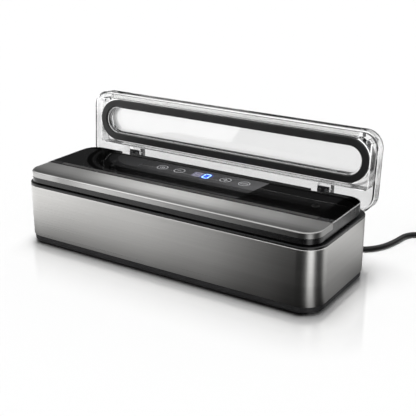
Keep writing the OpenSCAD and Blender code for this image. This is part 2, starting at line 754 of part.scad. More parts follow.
module terminal_block() color([0.9, 0.9, 0.88]) at_body() translate([relief_x, body_d / 2 - 32, floor_z])
    linear_extrude(16) square([22, 14], center = true);

// ---- Cord ----

module at_relief() at_body() translate([relief_x, body_d / 2, 0]) children();

module strain_relief() color([0.04, 0.04, 0.04]) at_relief()
    translate([0, 0, relief_z]) rotate([-90, 0, 0]) rotate_extrude()
        polygon([[0, -6], [6, -6], [6, -shell_in - shell_wall - fit], [5, -shell_in - shell_wall - fit],
            [5, fit], [7.6, fit], [7.6, 2], [5.6, 3], [cord_r + 0.8, relief_len], [0, relief_len]]);

module power_cord() color([0.03, 0.03, 0.03]) at_relief() tube(smooth(cord_route, 2), cord_r, 10);

module cord_coil() color([0.03, 0.03, 0.03]) at_relief() translate([coil_c[0], coil_c[1], 0])
    rotate_extrude() translate([coil_mid_r - cord_d, 0]) square([2 * cord_d, coil_high * cord_d]);

module cord_tail() color([0.03, 0.03, 0.03]) at_relief() tube(smooth(tail_route, 2), cord_r, 10);

module cord_plug() color([0.03, 0.03, 0.03]) at_relief() translate(plug_c)
    rotate([-90, 0, 0]) {
        rotate_extrude() polygon([[0, 0], [cord_r + 0.6, 0], [5, 14], [5, 20], [0, 20]]);
        hull() {
            translate([0, 0, 15]) linear_extrude(1) stadium_2d(17, 10.4);
            translate([0, 0, 24]) linear_extrude(13) stadium_2d(35, 13);
        }
    }

module plug_pins() color([0.75, 0.75, 0.72]) at_relief() translate(plug_c + [0, 37, 0])
    for (s = [-1, 1]) translate([s * 9.3, 0, 0]) rotate([-90, 0, 0]) {
        cylinder(h = 18, r = 2);
        translate([0, 0, 18]) sphere(2);
    }

// ---- Hinges ----

pin_r = hinge_pin_d / 2;
plate_back = deck_rear - notch_in + 0.3 - hinge_y;
bracket_t = 1.4;
screw_up = 6.4;                      // bracket screws above the axis
screw_side = 3;

module hinge_bracket(s) color([0.2, 0.2, 0.21]) at_hinge() translate([s * hinge_x, 0, 0]) difference() {
    union() {
        box([-notch_w / 2 + 0.2, plate_back, deck_low - hinge_z + 0.4],
            [notch_w / 2 - 0.2, plate_back + bracket_t, hinge_drop - 0.4]);
        for (m = [-1, 1]) translate([m * (arm_w / 2 + arm_gap + ear_t / 2) - ear_t / 2, 0, 0])
            rotate([90, 0, 90]) linear_extrude(ear_t) {
                circle(knuckle_r);
                polygon([[plate_back + eps, -knuckle_r + 0.2], [0, -knuckle_r], [knuckle_r, 0],
                    [knuckle_r, 2], [plate_back + bracket_t, hinge_drop - 0.6],
                    [plate_back + eps, hinge_drop - 0.6]]);
            }
    }
    along_x(-notch_w, notch_w, pin_r + 0.02);
    for (m = [-1, 1]) translate([m * screw_side, 0, screw_up])
        along_y(plate_back - 1, plate_back + bracket_t + 1, 1.1);
}

module hinge_bracket_left() hinge_bracket(-1);
module hinge_bracket_right() hinge_bracket(1);

module hinge_pin(s) color([0.7, 0.7, 0.72]) at_hinge() translate([s * hinge_x, 0, 0])
    along_x(-arm_w / 2 - arm_gap - ear_t - 0.6, arm_w / 2 + arm_gap + ear_t + 0.6, pin_r);

module hinge_pin_left() hinge_pin(-1);
module hinge_pin_right() hinge_pin(1);

module bracket_screws() color([0.7, 0.7, 0.72]) at_hinge() hinge_places()
    for (m = [-1, 1]) translate([m * screw_side, 0, screw_up]) {
        along_y(plate_back + bracket_t, plate_back + bracket_t + 0.5, 2);
        along_y(plate_back - 0.28, plate_back + bracket_t + 0.1, 1.05);
    }

// The arm, closed: a knuckle, an upright into the lid's tray and a leaf under the lid's boss
leaf_low = rim_z + 2;
leaf_t = 2;
leaf_w = 14;
leaf_front = -11.8;
upright_rear = 1.8;
boss_front = -15;
arm_screw_y = -7.8;
arm_screw_x = 4;

module hinge_arm(s) color([0.2, 0.2, 0.21]) at_open_lid() translate([s * hinge_x, 0, 0]) difference() {
    union() {
        rotate([90, 0, 90]) translate([0, 0, -arm_w / 2]) linear_extrude(arm_w) {
            circle(knuckle_r);
            polygon([[-knuckle_r, 0], [upright_rear, 0], [upright_rear, leaf_low + leaf_t],
                [-knuckle_r - 2, leaf_low + leaf_t], [-knuckle_r - 2, leaf_low],
                [-knuckle_r, leaf_low - 2]]);
        }
        box([-leaf_w / 2, leaf_front, leaf_low], [leaf_w / 2, upright_rear, leaf_low + leaf_t]);
    }
    along_x(-arm_w, arm_w, pin_r + pin_gap);
    for (m = [-1, 1]) translate([m * arm_screw_x, arm_screw_y, leaf_low - 1]) cylinder(h = 5, r = 1.3);
}

module hinge_arm_left() hinge_arm(-1);
module hinge_arm_right() hinge_arm(1);

module arm_screws() color([0.7, 0.7, 0.72]) at_open_lid() hinge_places()
    for (m = [-1, 1]) translate([m * arm_screw_x, arm_screw_y, 0]) {
        translate([0, 0, leaf_low - 1]) cylinder(h = 1, r = 2.1);
        translate([0, 0, leaf_low - eps]) cylinder(h = 7, r = 1.2);
    }

// ---- Lid ----

channel_low = rim_z + 2.5;
press_low = gasket_low;
press_floor = rim_z + 5;

module lid_outline(inset, round, z0, z1) {
    r = lid_r - inset;
    translate([0, lid_y, 0]) edge_block(lid_w - 2 * inset, lid_d - 2 * inset, r, z0, z1) union() {
        translate([0, z0]) square([r, z1 - z0 - round]);
        translate([0, z0]) square([r - round, z1 - z0]);
        translate([r - round, z1 - round]) circle(round);
    }
}

module lid_shell() color([0.85, 0.88, 0.9, 0.4]) at_open_lid() difference() {
    union() {
        difference() {
            lid_outline(0, lid_round, rim_z, lid_top);
            lid_outline(lid_wall, lid_round - lid_wall, rim_z - 1, plate_low);
        }
        // Rib frame round the gasket, open to the front wall
        difference() {
            translate([0, lid_front + (lid_d - rib_rear) / 2, 0]) difference() {
                block(lid_w - 2 * rib_side, lid_d - rib_rear, 5, rim_z + 1, plate_low + eps);
                block(lid_w - 2 * rib_side - 2 * rib_t, lid_d - rib_rear - 2 * rib_t, 3.5,
                    rim_z, plate_low + 1);
            }
            box([-lid_w, lid_front - 1, rim_z - 1], [lid_w, lid_front + lid_wall + 8, lid_top]);
        }
        // Channel of the gasket and the window pad inside it
        translate([0, gasket_y, 0]) {
            difference() {
                stadium(gasket_w + 2 * channel_wall, gasket_d + 2 * channel_wall,
                    channel_low, plate_low + eps);
                stadium(gasket_w - 2 * gasket_band - 2 * channel_wall,
                    gasket_d - 2 * gasket_band - 2 * channel_wall, channel_low - 1, rim_z + chamber_deep);
            }
        }
        // Seat of the press strip
        box([-heater_len / 2 - 4, lid_front + 1, press_floor],
            [heater_len / 2 + 4, lid_front + gasket_front_gap, plate_low + eps]);
        // Corner posts and hinge bosses
        for (s = [-1, 1]) translate([s * post_x, post_y, rim_z])
            cylinder(h = plate_low - rim_z + eps, d = post_d);
        hinge_places() box([-8, boss_front, leaf_low + leaf_t], [8, 3.5, plate_low + eps]);
    }
    translate([0, gasket_y, 0]) difference() {
        stadium(gasket_w, gasket_d, rim_z - 1, rim_z + gasket_deep);
        stadium(gasket_w - 2 * gasket_band, gasket_d - 2 * gasket_band,
            rim_z - 2, rim_z + gasket_deep + 1);
    }
    for (s = [-1, 1]) translate([s * post_x, post_y, rim_z - 1])
        cylinder(h = magnet_h + 1.1, d = magnet_d + 2 * fit);
    hinge_places() for (m = [-1, 1]) translate([m * arm_screw_x, arm_screw_y, leaf_low])
        cylinder(h = 8, r = 1.25);
}

module lid_gasket() color([0.05, 0.05, 0.05]) at_open_lid() translate([0, gasket_y, 0])
    stadium_sweep(gasket_w - gasket_d) {
        out = gasket_d / 2 - 0.05;
        in = gasket_d / 2 - gasket_band + 0.05;
        polygon([[in, gasket_low + 0.8], [in + 0.25, gasket_low + 0.25], [in + 0.8, gasket_low],
            [out - 0.8, gasket_low], [out - 0.25, gasket_low + 0.25], [out, gasket_low + 0.8],
            [out, rim_z + gasket_deep], [in, rim_z + gasket_deep]]);
    }

module press_strip() color([0.8, 0.8, 0.8]) at_open_lid() box([-heater_len / 2, press_front, press_low],
    [heater_len / 2, press_front + press_w, press_floor]);

module lid_magnets() color([0.8, 0.8, 0.8]) at_open_lid() for (s = [-1, 1])
    translate([s * post_x, post_y, rim_z + fit]) cylinder(h = magnet_h, d = magnet_d);

base_tray();
rubber_feet();
base_screws();
body_shell();
steel_wrap();
neck_seal();
deck_frame();
front_cap();
glass_panel();
display_module();
touch_board();
heater_bar();
heater_wire();
release_tape();
vacuum_port();
port_screen();
lid_sensors();
pump_saddle();
pump_motor();
pump_rotor();
pump_head();
pump_diaphragm();
pump_cover();
valve_body();
valve_coil();
valve_plunger();
valve_spring();
suction_hose();
port_hose();
pressure_sensor();
power_board();
transformer();
board_parts();
terminal_block();
strain_relief();
power_cord();
cord_coil();
cord_tail();
cord_plug();
plug_pins();
hinge_bracket_left();
hinge_bracket_right();
hinge_pin_left();
hinge_pin_right();
bracket_screws();
hinge_arm_left();
hinge_arm_right();
arm_screws();
lid_shell();
lid_gasket();
press_strip();
lid_magnets();
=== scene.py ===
import math

import bmesh
import bpy
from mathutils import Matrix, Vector


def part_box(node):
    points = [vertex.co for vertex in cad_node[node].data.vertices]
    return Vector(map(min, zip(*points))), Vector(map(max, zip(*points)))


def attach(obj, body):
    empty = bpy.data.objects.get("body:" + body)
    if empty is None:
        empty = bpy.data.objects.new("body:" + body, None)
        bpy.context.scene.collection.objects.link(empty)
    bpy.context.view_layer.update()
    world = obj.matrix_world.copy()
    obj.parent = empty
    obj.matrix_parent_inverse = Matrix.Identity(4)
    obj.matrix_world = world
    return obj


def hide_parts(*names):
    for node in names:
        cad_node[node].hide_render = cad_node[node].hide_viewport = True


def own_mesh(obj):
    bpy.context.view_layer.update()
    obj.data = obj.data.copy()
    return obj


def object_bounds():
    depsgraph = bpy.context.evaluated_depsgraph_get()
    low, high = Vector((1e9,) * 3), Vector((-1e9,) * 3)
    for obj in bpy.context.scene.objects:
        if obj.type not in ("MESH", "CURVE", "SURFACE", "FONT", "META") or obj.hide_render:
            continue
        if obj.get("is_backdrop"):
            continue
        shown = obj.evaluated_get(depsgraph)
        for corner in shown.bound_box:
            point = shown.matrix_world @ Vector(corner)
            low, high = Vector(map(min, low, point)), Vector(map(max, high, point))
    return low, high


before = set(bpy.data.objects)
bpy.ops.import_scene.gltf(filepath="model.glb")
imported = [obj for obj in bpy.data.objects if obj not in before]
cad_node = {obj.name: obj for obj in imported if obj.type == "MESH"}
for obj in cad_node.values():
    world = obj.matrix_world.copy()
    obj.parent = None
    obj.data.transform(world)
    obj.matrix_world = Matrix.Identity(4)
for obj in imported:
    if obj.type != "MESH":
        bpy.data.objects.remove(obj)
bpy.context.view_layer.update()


# ---- Camera ----
# A 73 mm lens on a 36 mm sensor, to the machine's front right, 39 cm over the worktop. It looks
# down by 20.5 degrees, and the frame cuts the cord off a short way behind the machine.
camera_lens = 73.34
camera_place = (0.49844, -0.75009, 0.39063)
camera_pitch_down = 20.51
camera_turn = 32.69

camera = bpy.data.objects.new("studio_camera", bpy.data.cameras.new("studio_camera"))
bpy.context.scene.collection.objects.link(camera)
camera.data.lens = camera_lens
camera.data.sensor_width = 36.0
camera.data.clip_start = 0.01
camera.data.clip_end = 50.0
camera.location = camera_place
camera.rotation_euler = (math.radians(90 - camera_pitch_down), 0, math.radians(camera_turn))
bpy.context.scene.camera = camera
bpy.context.scene.view_settings.view_transform = "Standard"


# ---- Mains cord ----
# A round 6 mm lead in a black flexible sheath. It leaves the relief at the back, drops to the
# worktop, runs off to the right and ends in a neat coil with its moulded plug beside it.
mm = 0.001
cord_radius = 3.0 * mm
body_centre = (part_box("steel_wrap")[0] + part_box("steel_wrap")[1]) / 2


def from_body(x, y, z):
    """A point in millimetres from the body's middle, as metres in the row frame."""
    return Vector((x * mm, y * mm + body_centre.y, z * mm))


def smooth_line(points, steps):
    """Points of a smooth curve through the given ones."""
    out = []
    for i in range(len(points) - 1):
        a, b = points[max(i - 1, 0)], points[i]
        c, d = points[i + 1], points[min(i + 2, len(points) - 1)]
        for s in range(steps):
            t = s / steps
            out.append(0.5 * (2 * b + (c - a) * t + (2 * a - 5 * b + 4 * c - d) * t * t
                              + (3 * b - a - 3 * c + d) * t * t * t))
    return out + [points[-1]]


def ease(t):
    t = min(max(t, 0.0), 1.0)
    return t * t * (3 - 2 * t)


def coil_line(centre, outer, inner, pitch, start_height):
    """Turns of the coil: out and in on the worktop, in and out above, then off the top."""
    out = []
    steps = 30
    for k in range(int(coil_turns * steps) + 1):
        turn = k / steps
        shift = [ease((turn - n) * 4 + 4) for n in (1, 2, 3, 4)]
        radius = outer + (inner - outer) * (shift[0] - shift[2])
        height = start_height + pitch * (shift[1] + shift[3])
        angle = math.radians(-90 + 360 * turn)
        out.append(from_body(centre[0] + radius * math.cos(angle),
                             centre[1] + radius * math.sin(angle), height))
    return out


def swept_tube(name, line, radius, sides):
    """A closed round tube along a line, with its length and its turn as UVs."""
    line = [Vector(p) for p in line]
    mesh = bmesh.new()
    uv_layer = mesh.loops.layers.uv.new("along")
    side = Vector((0, 0, 1))
    rings, run = [], [0.0]
    for i, p in enumerate(line):
        ahead = (line[min(i + 1, len(line) - 1)] - line[max(i - 1, 0)]).normalized()
        side = (side - ahead * side.dot(ahead)).normalized()
        across = ahead.cross(side)
        rings.append([mesh.verts.new(p + radius * (math.cos(a) * side + math.sin(a) * across))
                      for a in (2 * math.pi * k / sides for k in range(sides))])
        if i:
            run.append(run[-1] + (p - line[i - 1]).length)
    for i in range(len(rings) - 1):
        for k in range(sides):
            n = (k + 1) % sides
            face = mesh.faces.new((rings[i][k], rings[i][n], rings[i + 1][n], rings[i + 1][k]))
            face.smooth = True
            for loop, (u, v) in zip(face.loops, ((i, k), (i, k + 1), (i + 1, k + 1), (i + 1, k))):
                loop[uv_layer].uv = (run[u], v / sides)
    mesh.faces.new(list(reversed(rings[0])))
    mesh.faces.new(rings[-1])
    mesh.normal_update()
    bmesh.ops.recalc_face_normals(mesh, faces=mesh.faces)
    data = bpy.data.meshes.new(name)
    mesh.to_mesh(data)
    mesh.free()
    tube = bpy.data.objects.new(name, data)
    bpy.context.scene.collection.objects.link(tube)
    return tube


coil_centre, coil_outer, coil_inner, coil_turns = (250, 232), 36, 30, 4.25
coil_pitch, coil_start = 6.0, 3.0
cord_route = [
    (96, 90, 20), (96.5, 97, 19.2), (98.8, 104, 16.2), (103.5, 110, 11.4), (111, 113.8, 7),
    (121, 115, 4.2), (131, 113.5, 3), (142, 112.2, 3), (153, 112.8, 3), (163, 116.8, 3), (172.3, 125, 3),
    (179.5, 137, 3), (184.2, 151.5, 3), (187, 167.5, 3), (188.2, 178, 3), (191.3, 185.3, 3),
    (197, 192, 3), (204.8, 196.4, 3), (214, 198, 3), (226, 197.4, 3), (238, 196.2, 3), (250, 196, 3)]
tail_route = [(286, 232, 15), (286, 241, 14.6), (286.3, 250, 12.7), (286.8, 259, 9.9),
              (287, 268, 7.8), (287, 276, 7)]
run_out = smooth_line([from_body(*p) for p in cord_route], 3)
for _ in range(4):
    run_out = run_out[:2] + [(a + 2 * b + c) / 4 for a, b, c in
                             zip(run_out[1:], run_out[2:], run_out[3:])] + run_out[-1:]
cord_line = (run_out[:-1] + coil_line(coil_centre, coil_outer, coil_inner, coil_pitch, coil_start)[:-1]
             + smooth_line([from_body(*p) for p in tail_route], 3))
for point in cord_line:
    point.z = max(point.z, cord_radius)
power_cord = swept_tube("mains_cord", cord_line, cord_radius, 16)


class Nodes:
    """Adds nodes to a node tree, with their settings and links in one call each."""

    def __init__(self, tree):
        self.tree = tree
        tree.nodes.clear()

    def link(self, source, socket):
        self.tree.links.new(source, socket)

    def give(self, socket, value):
        if isinstance(value, bpy.types.NodeSocket):
            self.link(value, socket)
        else:
            socket.default_value = value

    def node(self, kind, **inputs):
        made = self.tree.nodes.new("ShaderNode" + kind)
        for key, value in inputs.items():
            if key.startswith("set_"):
                setattr(made, key[4:], value)
            elif key[0] == "i" and key[1:].isdigit():
                self.give(made.inputs[int(key[1:])], value)
            else:
                self.give(made.inputs[key.replace("_", " ")], value)
        return made

    def math(self, operation, a, b=0.0, c=0.0):
        return self.node("Math", set_operation=operation, i0=a, i1=b, i2=c).outputs[0]

    def step(self, value, low, high, to_low=0.0, to_high=1.0):
        """value eased from one range to another."""
        return self.node("MapRange", Value=value, From_Min=low, From_Max=high, To_Min=to_low,
                         To_Max=to_high, set_interpolation_type="SMOOTHSTEP").outputs[0]

    def ramp(self, value, stops):
        """Grey levels along a value from 0 to 1."""
        made = self.node("ValToRGB", i0=value)
        bar = made.color_ramp
        bar.interpolation = "EASE"
        while len(bar.elements) > 1:
            bar.elements.remove(bar.elements[-1])
        bar.elements[0].position = stops[0][0]
        bar.elements[0].color = (*(stops[0][1],) * 3, 1)
        for place, level in stops[1:]:
            bar.elements.new(place).color = (*(level,) * 3, 1)
        return made.outputs[0]

    def heading(self, x, y):
        """The way round the machine, 0 to 1: 0.5 is in front, 0.75 to its right."""
        turn = self.math("ARCTAN2", x, self.math("MULTIPLY", y, -1.0))
        return self.math("ADD", self.math("MULTIPLY", turn, 1 / (2 * math.pi)), 0.5)


class Shader(Nodes):
    """A material with one Principled surface."""

    def __init__(self, name):
        self.material = bpy.data.materials.new(name)
        self.material.use_nodes = True
        super().__init__(self.material.node_tree)
        self.output = self.node("OutputMaterial")
        self.surface = self.node("BsdfPrincipled")
        self.link(self.surface.outputs[0], self.output.inputs["Surface"])

    def place(self, scale=(1, 1, 1), uv=False):
        """Object coordinates, or the UV map, stretched by scale."""
        found = self.node("TexCoord").outputs["UV" if uv else "Object"]
        return self.node("Mapping", Vector=found, Scale=scale).outputs[0]

    def noise(self, where, scale, detail=3.0, roughness=0.55):
        return self.node("TexNoise", Vector=where, Scale=scale, Detail=detail,
                         Roughness=roughness).outputs[0]

    def span(self, value, low, high, from_low=0.3, from_high=0.7):
        """value, taken from one range to another."""
        return self.node("MapRange", Value=value, From_Min=from_low, From_Max=from_high,
                         To_Min=low, To_Max=high).outputs[0]

    def tint(self, value, dark, light):
        return self.node("Mix", set_data_type="RGBA", i0=value, i6=(*dark, 1),
                         i7=(*light, 1)).outputs[2]

    def times(self, a, b):
        """Two colours multiplied."""
        return self.node("Mix", set_data_type="RGBA", set_blend_type="MULTIPLY", i0=1.0, i6=a,
                         i7=b).outputs[2]

    def bump(self, height, strength, distance):
        made = self.node("Bump", Height=height, Strength=strength, Distance=distance)
        self.link(made.outputs[0], self.surface.inputs["Normal"])

    def set(self, **sockets):
        for key, value in sockets.items():
            self.give(self.surface.inputs[key.replace("_", " ")], value)


def moulded(name, dark, light, roughness, grain=900.0, depth=0.00003, **more):
    """Moulded plastic or rubber: a fine grain, faint clouding and uneven polish."""
    s = Shader(name)
    where = s.place()
    cloud = s.noise(where, 18.0)
    fine = s.noise(where, grain, 2.0)
    s.set(Base_Color=s.tint(s.span(cloud, 0, 1), dark, light),
          Roughness=s.span(s.noise(where, 60.0, 4.0), roughness - 0.05, roughness + 0.06), **more)
    s.bump(fine, 0.35, depth)
    return s.material


def finish_with(piece, material):
    """Gives a mesh its one material."""
    piece.data.materials.clear()
    piece.data.materials.append(material)
    return piece


cord_sheath = moulded("cord_sheath", (0.003, 0.003, 0.0032), (0.006, 0.006, 0.0065), 0.34, 700.0,
                      Specular_IOR_Level=0.22)
finish_with(power_cord, cord_sheath)
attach(power_cord, "base")
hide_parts("power_cord", "cord_coil", "cord_tail")


# ---- Worktop and backdrop ----
# A wide glossy white worktop that runs back into an evenly lit white wall. It keeps the
# machine's shadow, darkened close round it by a painted contact shadow, and a short soft
# reflection. The studio round it is dark but for soft boxes.
floor_mesh = bpy.data.meshes.new("worktop")
floor_mesh.from_pydata([(-9, -9, 0), (9, -9, 0), (9, 9, 0), (-9, 9, 0)], [], [(0, 1, 2, 3)])
worktop = bpy.data.objects.new("worktop", floor_mesh)
bpy.context.scene.collection.objects.link(worktop)
worktop.location.z = -0.0003


def around(stops):
    """Levels at headings in degrees (0 in front, 90 right) as stops of a ramp."""
    return [(0.5 + degrees / 360, level) for degrees, level in stops]


floor_look = bpy.data.materials.new("worktop_white")
floor_look.use_nodes = True
f = Nodes(floor_look.node_tree)
seen = f.node("LightPath").outputs
direct = f.math("LESS_THAN", seen["Glossy Depth"], 0.5)
clear = f.math("MULTIPLY", f.math("MAXIMUM", seen["Is Camera Ray"], seen["Is Transmission Ray"]), direct)
glossy = f.math("MULTIPLY", seen["Is Glossy Ray"], f.math("SUBTRACT", 1.0, clear))
axes = f.node("SeparateXYZ", Vector=f.node("TexCoord").outputs["Object"]).outputs
# Distance outside the footprint, for the fading reflection
out_x = f.math("MAXIMUM", f.math("SUBTRACT", f.math("ABSOLUTE", axes[0]), 0.170), 0.0)
off_y = f.math("SUBTRACT", axes[1], body_centre.y)
out_y = f.math("MAXIMUM", f.math("SUBTRACT", f.math("ABSOLUTE", off_y), 0.046), 0.0)
away = f.math("SQRT", f.math("ADD", f.math("MULTIPLY", out_x, out_x), f.math("MULTIPLY", out_y, out_y)))
ahead = f.math("MAXIMUM", f.math("SUBTRACT", -0.078, axes[1]), 0.0)
# The mirror image is masked to where the machine shows in it from camera_place. The mask is right
# from that one place only
over_x = f.math("SUBTRACT", axes[0], camera_place[0])
over_y = f.math("SUBTRACT", axes[1], camera_place[1])
aside = f.math("MAXIMUM", f.math("SUBTRACT", axes[0], 0.19), 0.0)
met_x = f.math("ADD", axes[0], f.math("DIVIDE", f.math("MULTIPLY", over_x, ahead), over_y))
met_y = f.math("SUBTRACT", axes[1], f.math("DIVIDE", f.math("MULTIPLY", over_y, aside), over_x))
mirrored = f.math("MULTIPLY", f.step(met_x, -0.184, -0.173), f.step(met_y, 0.046, 0.060, 1.0, 0.0))
shine = f.math("MULTIPLY", mirrored, f.step(away, 0.02, 0.11, 0.36, 0.0))
# A painted contact shadow: the worktop's colour darkens close round the machine, less far out at its ends,
# on top of its real shadow
side = f.math("MULTIPLY", out_x, 2.1)
beside = f.math("SQRT", f.math("ADD", f.math("MULTIPLY", side, side), f.math("MULTIPLY", out_y, out_y)))
painted_contact_shadow = f.ramp(f.node("MapRange", Value=beside, From_Min=0.0165, From_Max=0.0665).outputs[0],
                 [(0.0, 0.14), (0.04, 0.26), (0.08, 0.48), (0.13, 0.72), (0.18, 0.85), (0.3, 0.91),
                  (0.5, 0.95), (0.75, 0.98), (1.0, 1.0)])
white = f.node("BsdfDiffuse", Color=f.node("Mix", set_data_type="RGBA", i0=painted_contact_shadow, i6=(0, 0, 0, 1),
                                           i7=(0.8, 0.8, 0.8, 1)).outputs[2]).outputs[0]
mirror = f.node("BsdfGlossy", Roughness=0.16).outputs[0]
top = f.node("MixShader", i0=f.math("MULTIPLY", shine, clear), i1=white, i2=mirror).outputs[0]
# What metal and glass see of the worktop: lit from the left, with a strip of light at the right,
# and darker close to the machine. The levels are laid out round front_image, the camera's place
# mirrored in the steel front, so they suit that one place
front_image = (0.498, 0.605)
corner = f.heading(f.math("SUBTRACT", axes[0], 0.170), f.math("SUBTRACT", axes[1], -0.055))
spread = f.heading(f.math("SUBTRACT", axes[0], front_image[0]), f.math("SUBTRACT", axes[1], front_image[1]))
near = f.ramp(f.math("MAXIMUM", corner, spread), around([
    (-60, 0.66), (-44, 0.66), (-38, 0.58), (-33, 0.38), (-29, 0.14), (-26, 0.02), (0, 0.015), (26, 0.03),
    (40, 0.95), (55, 0.95), (68, 0.03), (104, 0.03), (120, 0.5), (150, 0.56), (172, 0.3)]))
close = f.node("MapRange", Value=away, From_Min=0.02, From_Max=0.155, To_Min=0.18, To_Max=2.2).outputs[0]
close = f.math("MAXIMUM", close, f.step(out_x, 0.02, 0.03, 0.0, 0.45))
line = f.math("ADD", axes[0], f.math("ADD", f.math("MULTIPLY", axes[1], -0.470), 0.0980))
far = f.node("MixShader", i0=f.step(f.math("MULTIPLY", axes[1], -1.0), 0.28, 0.36),
             i1=f.node("Emission", Color=near, Strength=close).outputs[0],
             i2=f.node("Emission", Strength=f.step(line, -0.004, 0.004, 2.0, 0.05)).outputs[0])
f.tree.links.new(f.node("MixShader", i0=glossy, i1=top, i2=far.outputs[0]).outputs[0],
                 f.node("OutputMaterial").inputs["Surface"])
worktop.data.materials.append(floor_look)
worktop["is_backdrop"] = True

world = bpy.data.worlds.new("studio")
bpy.context.scene.world = world
world.use_nodes = True
w = Nodes(world.node_tree)
seen = w.node("LightPath").outputs
beam = w.node("TexCoord").outputs["Generated"]
axes = w.node("SeparateXYZ", Vector=beam).outputs
turn = w.heading(axes[0], axes[1])
walls = w.ramp(turn, around([
    (-178, 0.03), (-152, 0.03), (-144, 0.03), (-130, 0.03), (-105, 0.02), (-85, 0.8), (-50, 1.0),
    (-42, 0.7), (-30, 0.2), (-18, 0.04), (28, 0.05), (40, 1.1), (56, 1.1), (68, 0.06), (106, 0.06),
    (130, 0.8), (164, 0.8), (176, 0.06)]))
ceiling = w.step(axes[2], 0.36, 0.60, 0.0, 1.65)
low = w.step(axes[2], 0.20, 0.30, 1.0, 0.0)
studio = w.node("Background", Color=walls)
over = w.node("Background", Color=(1, 1, 1, 1), Strength=ceiling)
studio_light = w.node("AddShader", i0=studio.outputs[0], i1=over.outputs[0]).outputs[0]
soft = w.node("Background", Color=(1, 1, 1, 1), Strength=0.45).outputs[0]
bright = w.node("Background", Color=(1, 1, 1, 1), Strength=1.0).outputs[0]
glossy = w.math("MAXIMUM", seen["Is Glossy Ray"], seen["Is Transmission Ray"])
lit = w.node("MixShader", i0=glossy, i1=soft, i2=studio_light).outputs[0]
straight = w.math("MULTIPLY", w.math("LESS_THAN", seen["Glossy Depth"], 0.5), low)
shown = w.math("MAXIMUM", seen["Is Camera Ray"], w.math("MULTIPLY", seen["Is Transmission Ray"], straight))
w.tree.links.new(w.node("MixShader", i0=shown, i1=lit, i2=bright).outputs[0],
                 w.node("OutputWorld").inputs["Surface"])

overhead = bpy.data.objects.new("overhead_softbox", bpy.data.lights.new("overhead_softbox", "SUN"))
bpy.context.scene.collection.objects.link(overhead)
overhead.data.energy = 2.56
overhead.data.angle = math.radians(28)
overhead.rotation_euler = (math.radians(-5), math.radians(-8), 0)
overhead.visible_glossy = False


# ---- Plinth and feet ----
# The moulded black tray that closes the body from below and tapers in towards the worktop. It
# stands on rubber feet pressed into it, and zinc-plated screws hold it to the housing.
plinth_plastic = moulded("plinth_plastic", (0.022, 0.022, 0.023), (0.032, 0.032, 0.034), 0.42)
finish_with(cad_node["base_tray"], plinth_plastic)
foot_rubber = moulded("foot_rubber", (0.018, 0.018, 0.018), (0.03, 0.03, 0.03), 0.75, 1400.0)
finish_with(cad_node["rubber_feet"], foot_rubber)
screw_steel = moulded("screw_steel", (0.42, 0.42, 0.43), (0.55, 0.55, 0.56), 0.35, 1500.0, 0.00001,
                      Metallic=1.0)
finish_with(cad_node["base_screws"], screw_steel)


# ---- Pump and hoses ----
# A small diaphragm pump in a rubber-lined saddle: a zinc-plated motor can with its wound rotor, a
# moulded head and a screwed cover. Silicone hoses join it to the valve and the port in the deck.
def brushed(name, dark, light, roughness, streak=2600.0, along=5.0, bite=0.00002):
    s = Shader(name)
    lines = s.place((along, along, streak))
    fine = s.noise(lines, 1.0, 4.0, 0.7)
    broad = s.noise(s.place((along * 0.5, along * 0.5, 260.0)), 1.0, 3.0)
    cloud = s.noise(s.place(), 9.0, 2.0)
    mixed = s.math("ADD", s.math("MULTIPLY", fine, 0.65), s.math("MULTIPLY", broad, 0.35))
    s.set(Base_Color=s.tint(s.span(mixed, 0, 1), dark, light), Metallic=1.0,
          Roughness=s.math("ADD", s.span(fine, roughness - 0.07, roughness + 0.07),
                           s.span(cloud, -0.02, 0.02)))
    s.bump(fine, 0.25, bite)
    return s.material


silicone = moulded("clear_silicone", (0.93, 0.93, 0.92), (0.98, 0.98, 0.97), 0.12, 300.0, 0.000004,
                   Transmission_Weight=0.9, IOR=1.3)
finish_with(cad_node["suction_hose"], silicone)
finish_with(cad_node["port_hose"], silicone)
zinc = brushed("zinc_plate", (0.44, 0.45, 0.46), (0.56, 0.57, 0.58), 0.4)
finish_with(cad_node["pump_motor"], zinc)
copper = brushed("lacquered_copper", (0.5, 0.2, 0.09), (0.72, 0.34, 0.16), 0.3, 4200.0)
finish_with(cad_node["pump_rotor"], copper)
pump_plastic = moulded("pump_plastic", (0.03, 0.03, 0.032), (0.05, 0.05, 0.053), 0.45)
for name in ("pump_head", "pump_cover", "pump_saddle"):
    finish_with(cad_node[name], pump_plastic)
finish_with(cad_node["pump_diaphragm"], foot_rubber)


# ---- Release valve ----
# A moulded valve with a copper coil. The coil lifts a steel plunger off its seat against a spring.
nylon = moulded("pale_nylon", (0.6, 0.59, 0.55), (0.7, 0.69, 0.65), 0.4, 700.0)
finish_with(cad_node["valve_body"], nylon)
finish_with(cad_node["valve_coil"], copper)
finish_with(cad_node["valve_plunger"], screw_steel)
spring_low, spring_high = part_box("valve_spring")
spring_middle, wire = (spring_low + spring_high) / 2, 0.00035
coil_up = spring_high.z - spring_low.z - 2 * wire
spring = swept_tube("return_spring", [
    Vector((spring_middle.x + 0.0022 * math.cos(a), spring_middle.y + 0.0022 * math.sin(a),
            spring_low.z + wire + coil_up * n / 120))
    for n, a in ((n, 2 * math.pi * 4 * n / 120) for n in range(121))], wire, 10)
finish_with(spring, screw_steel)
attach(spring, "base")
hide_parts("valve_spring")
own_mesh(spring)


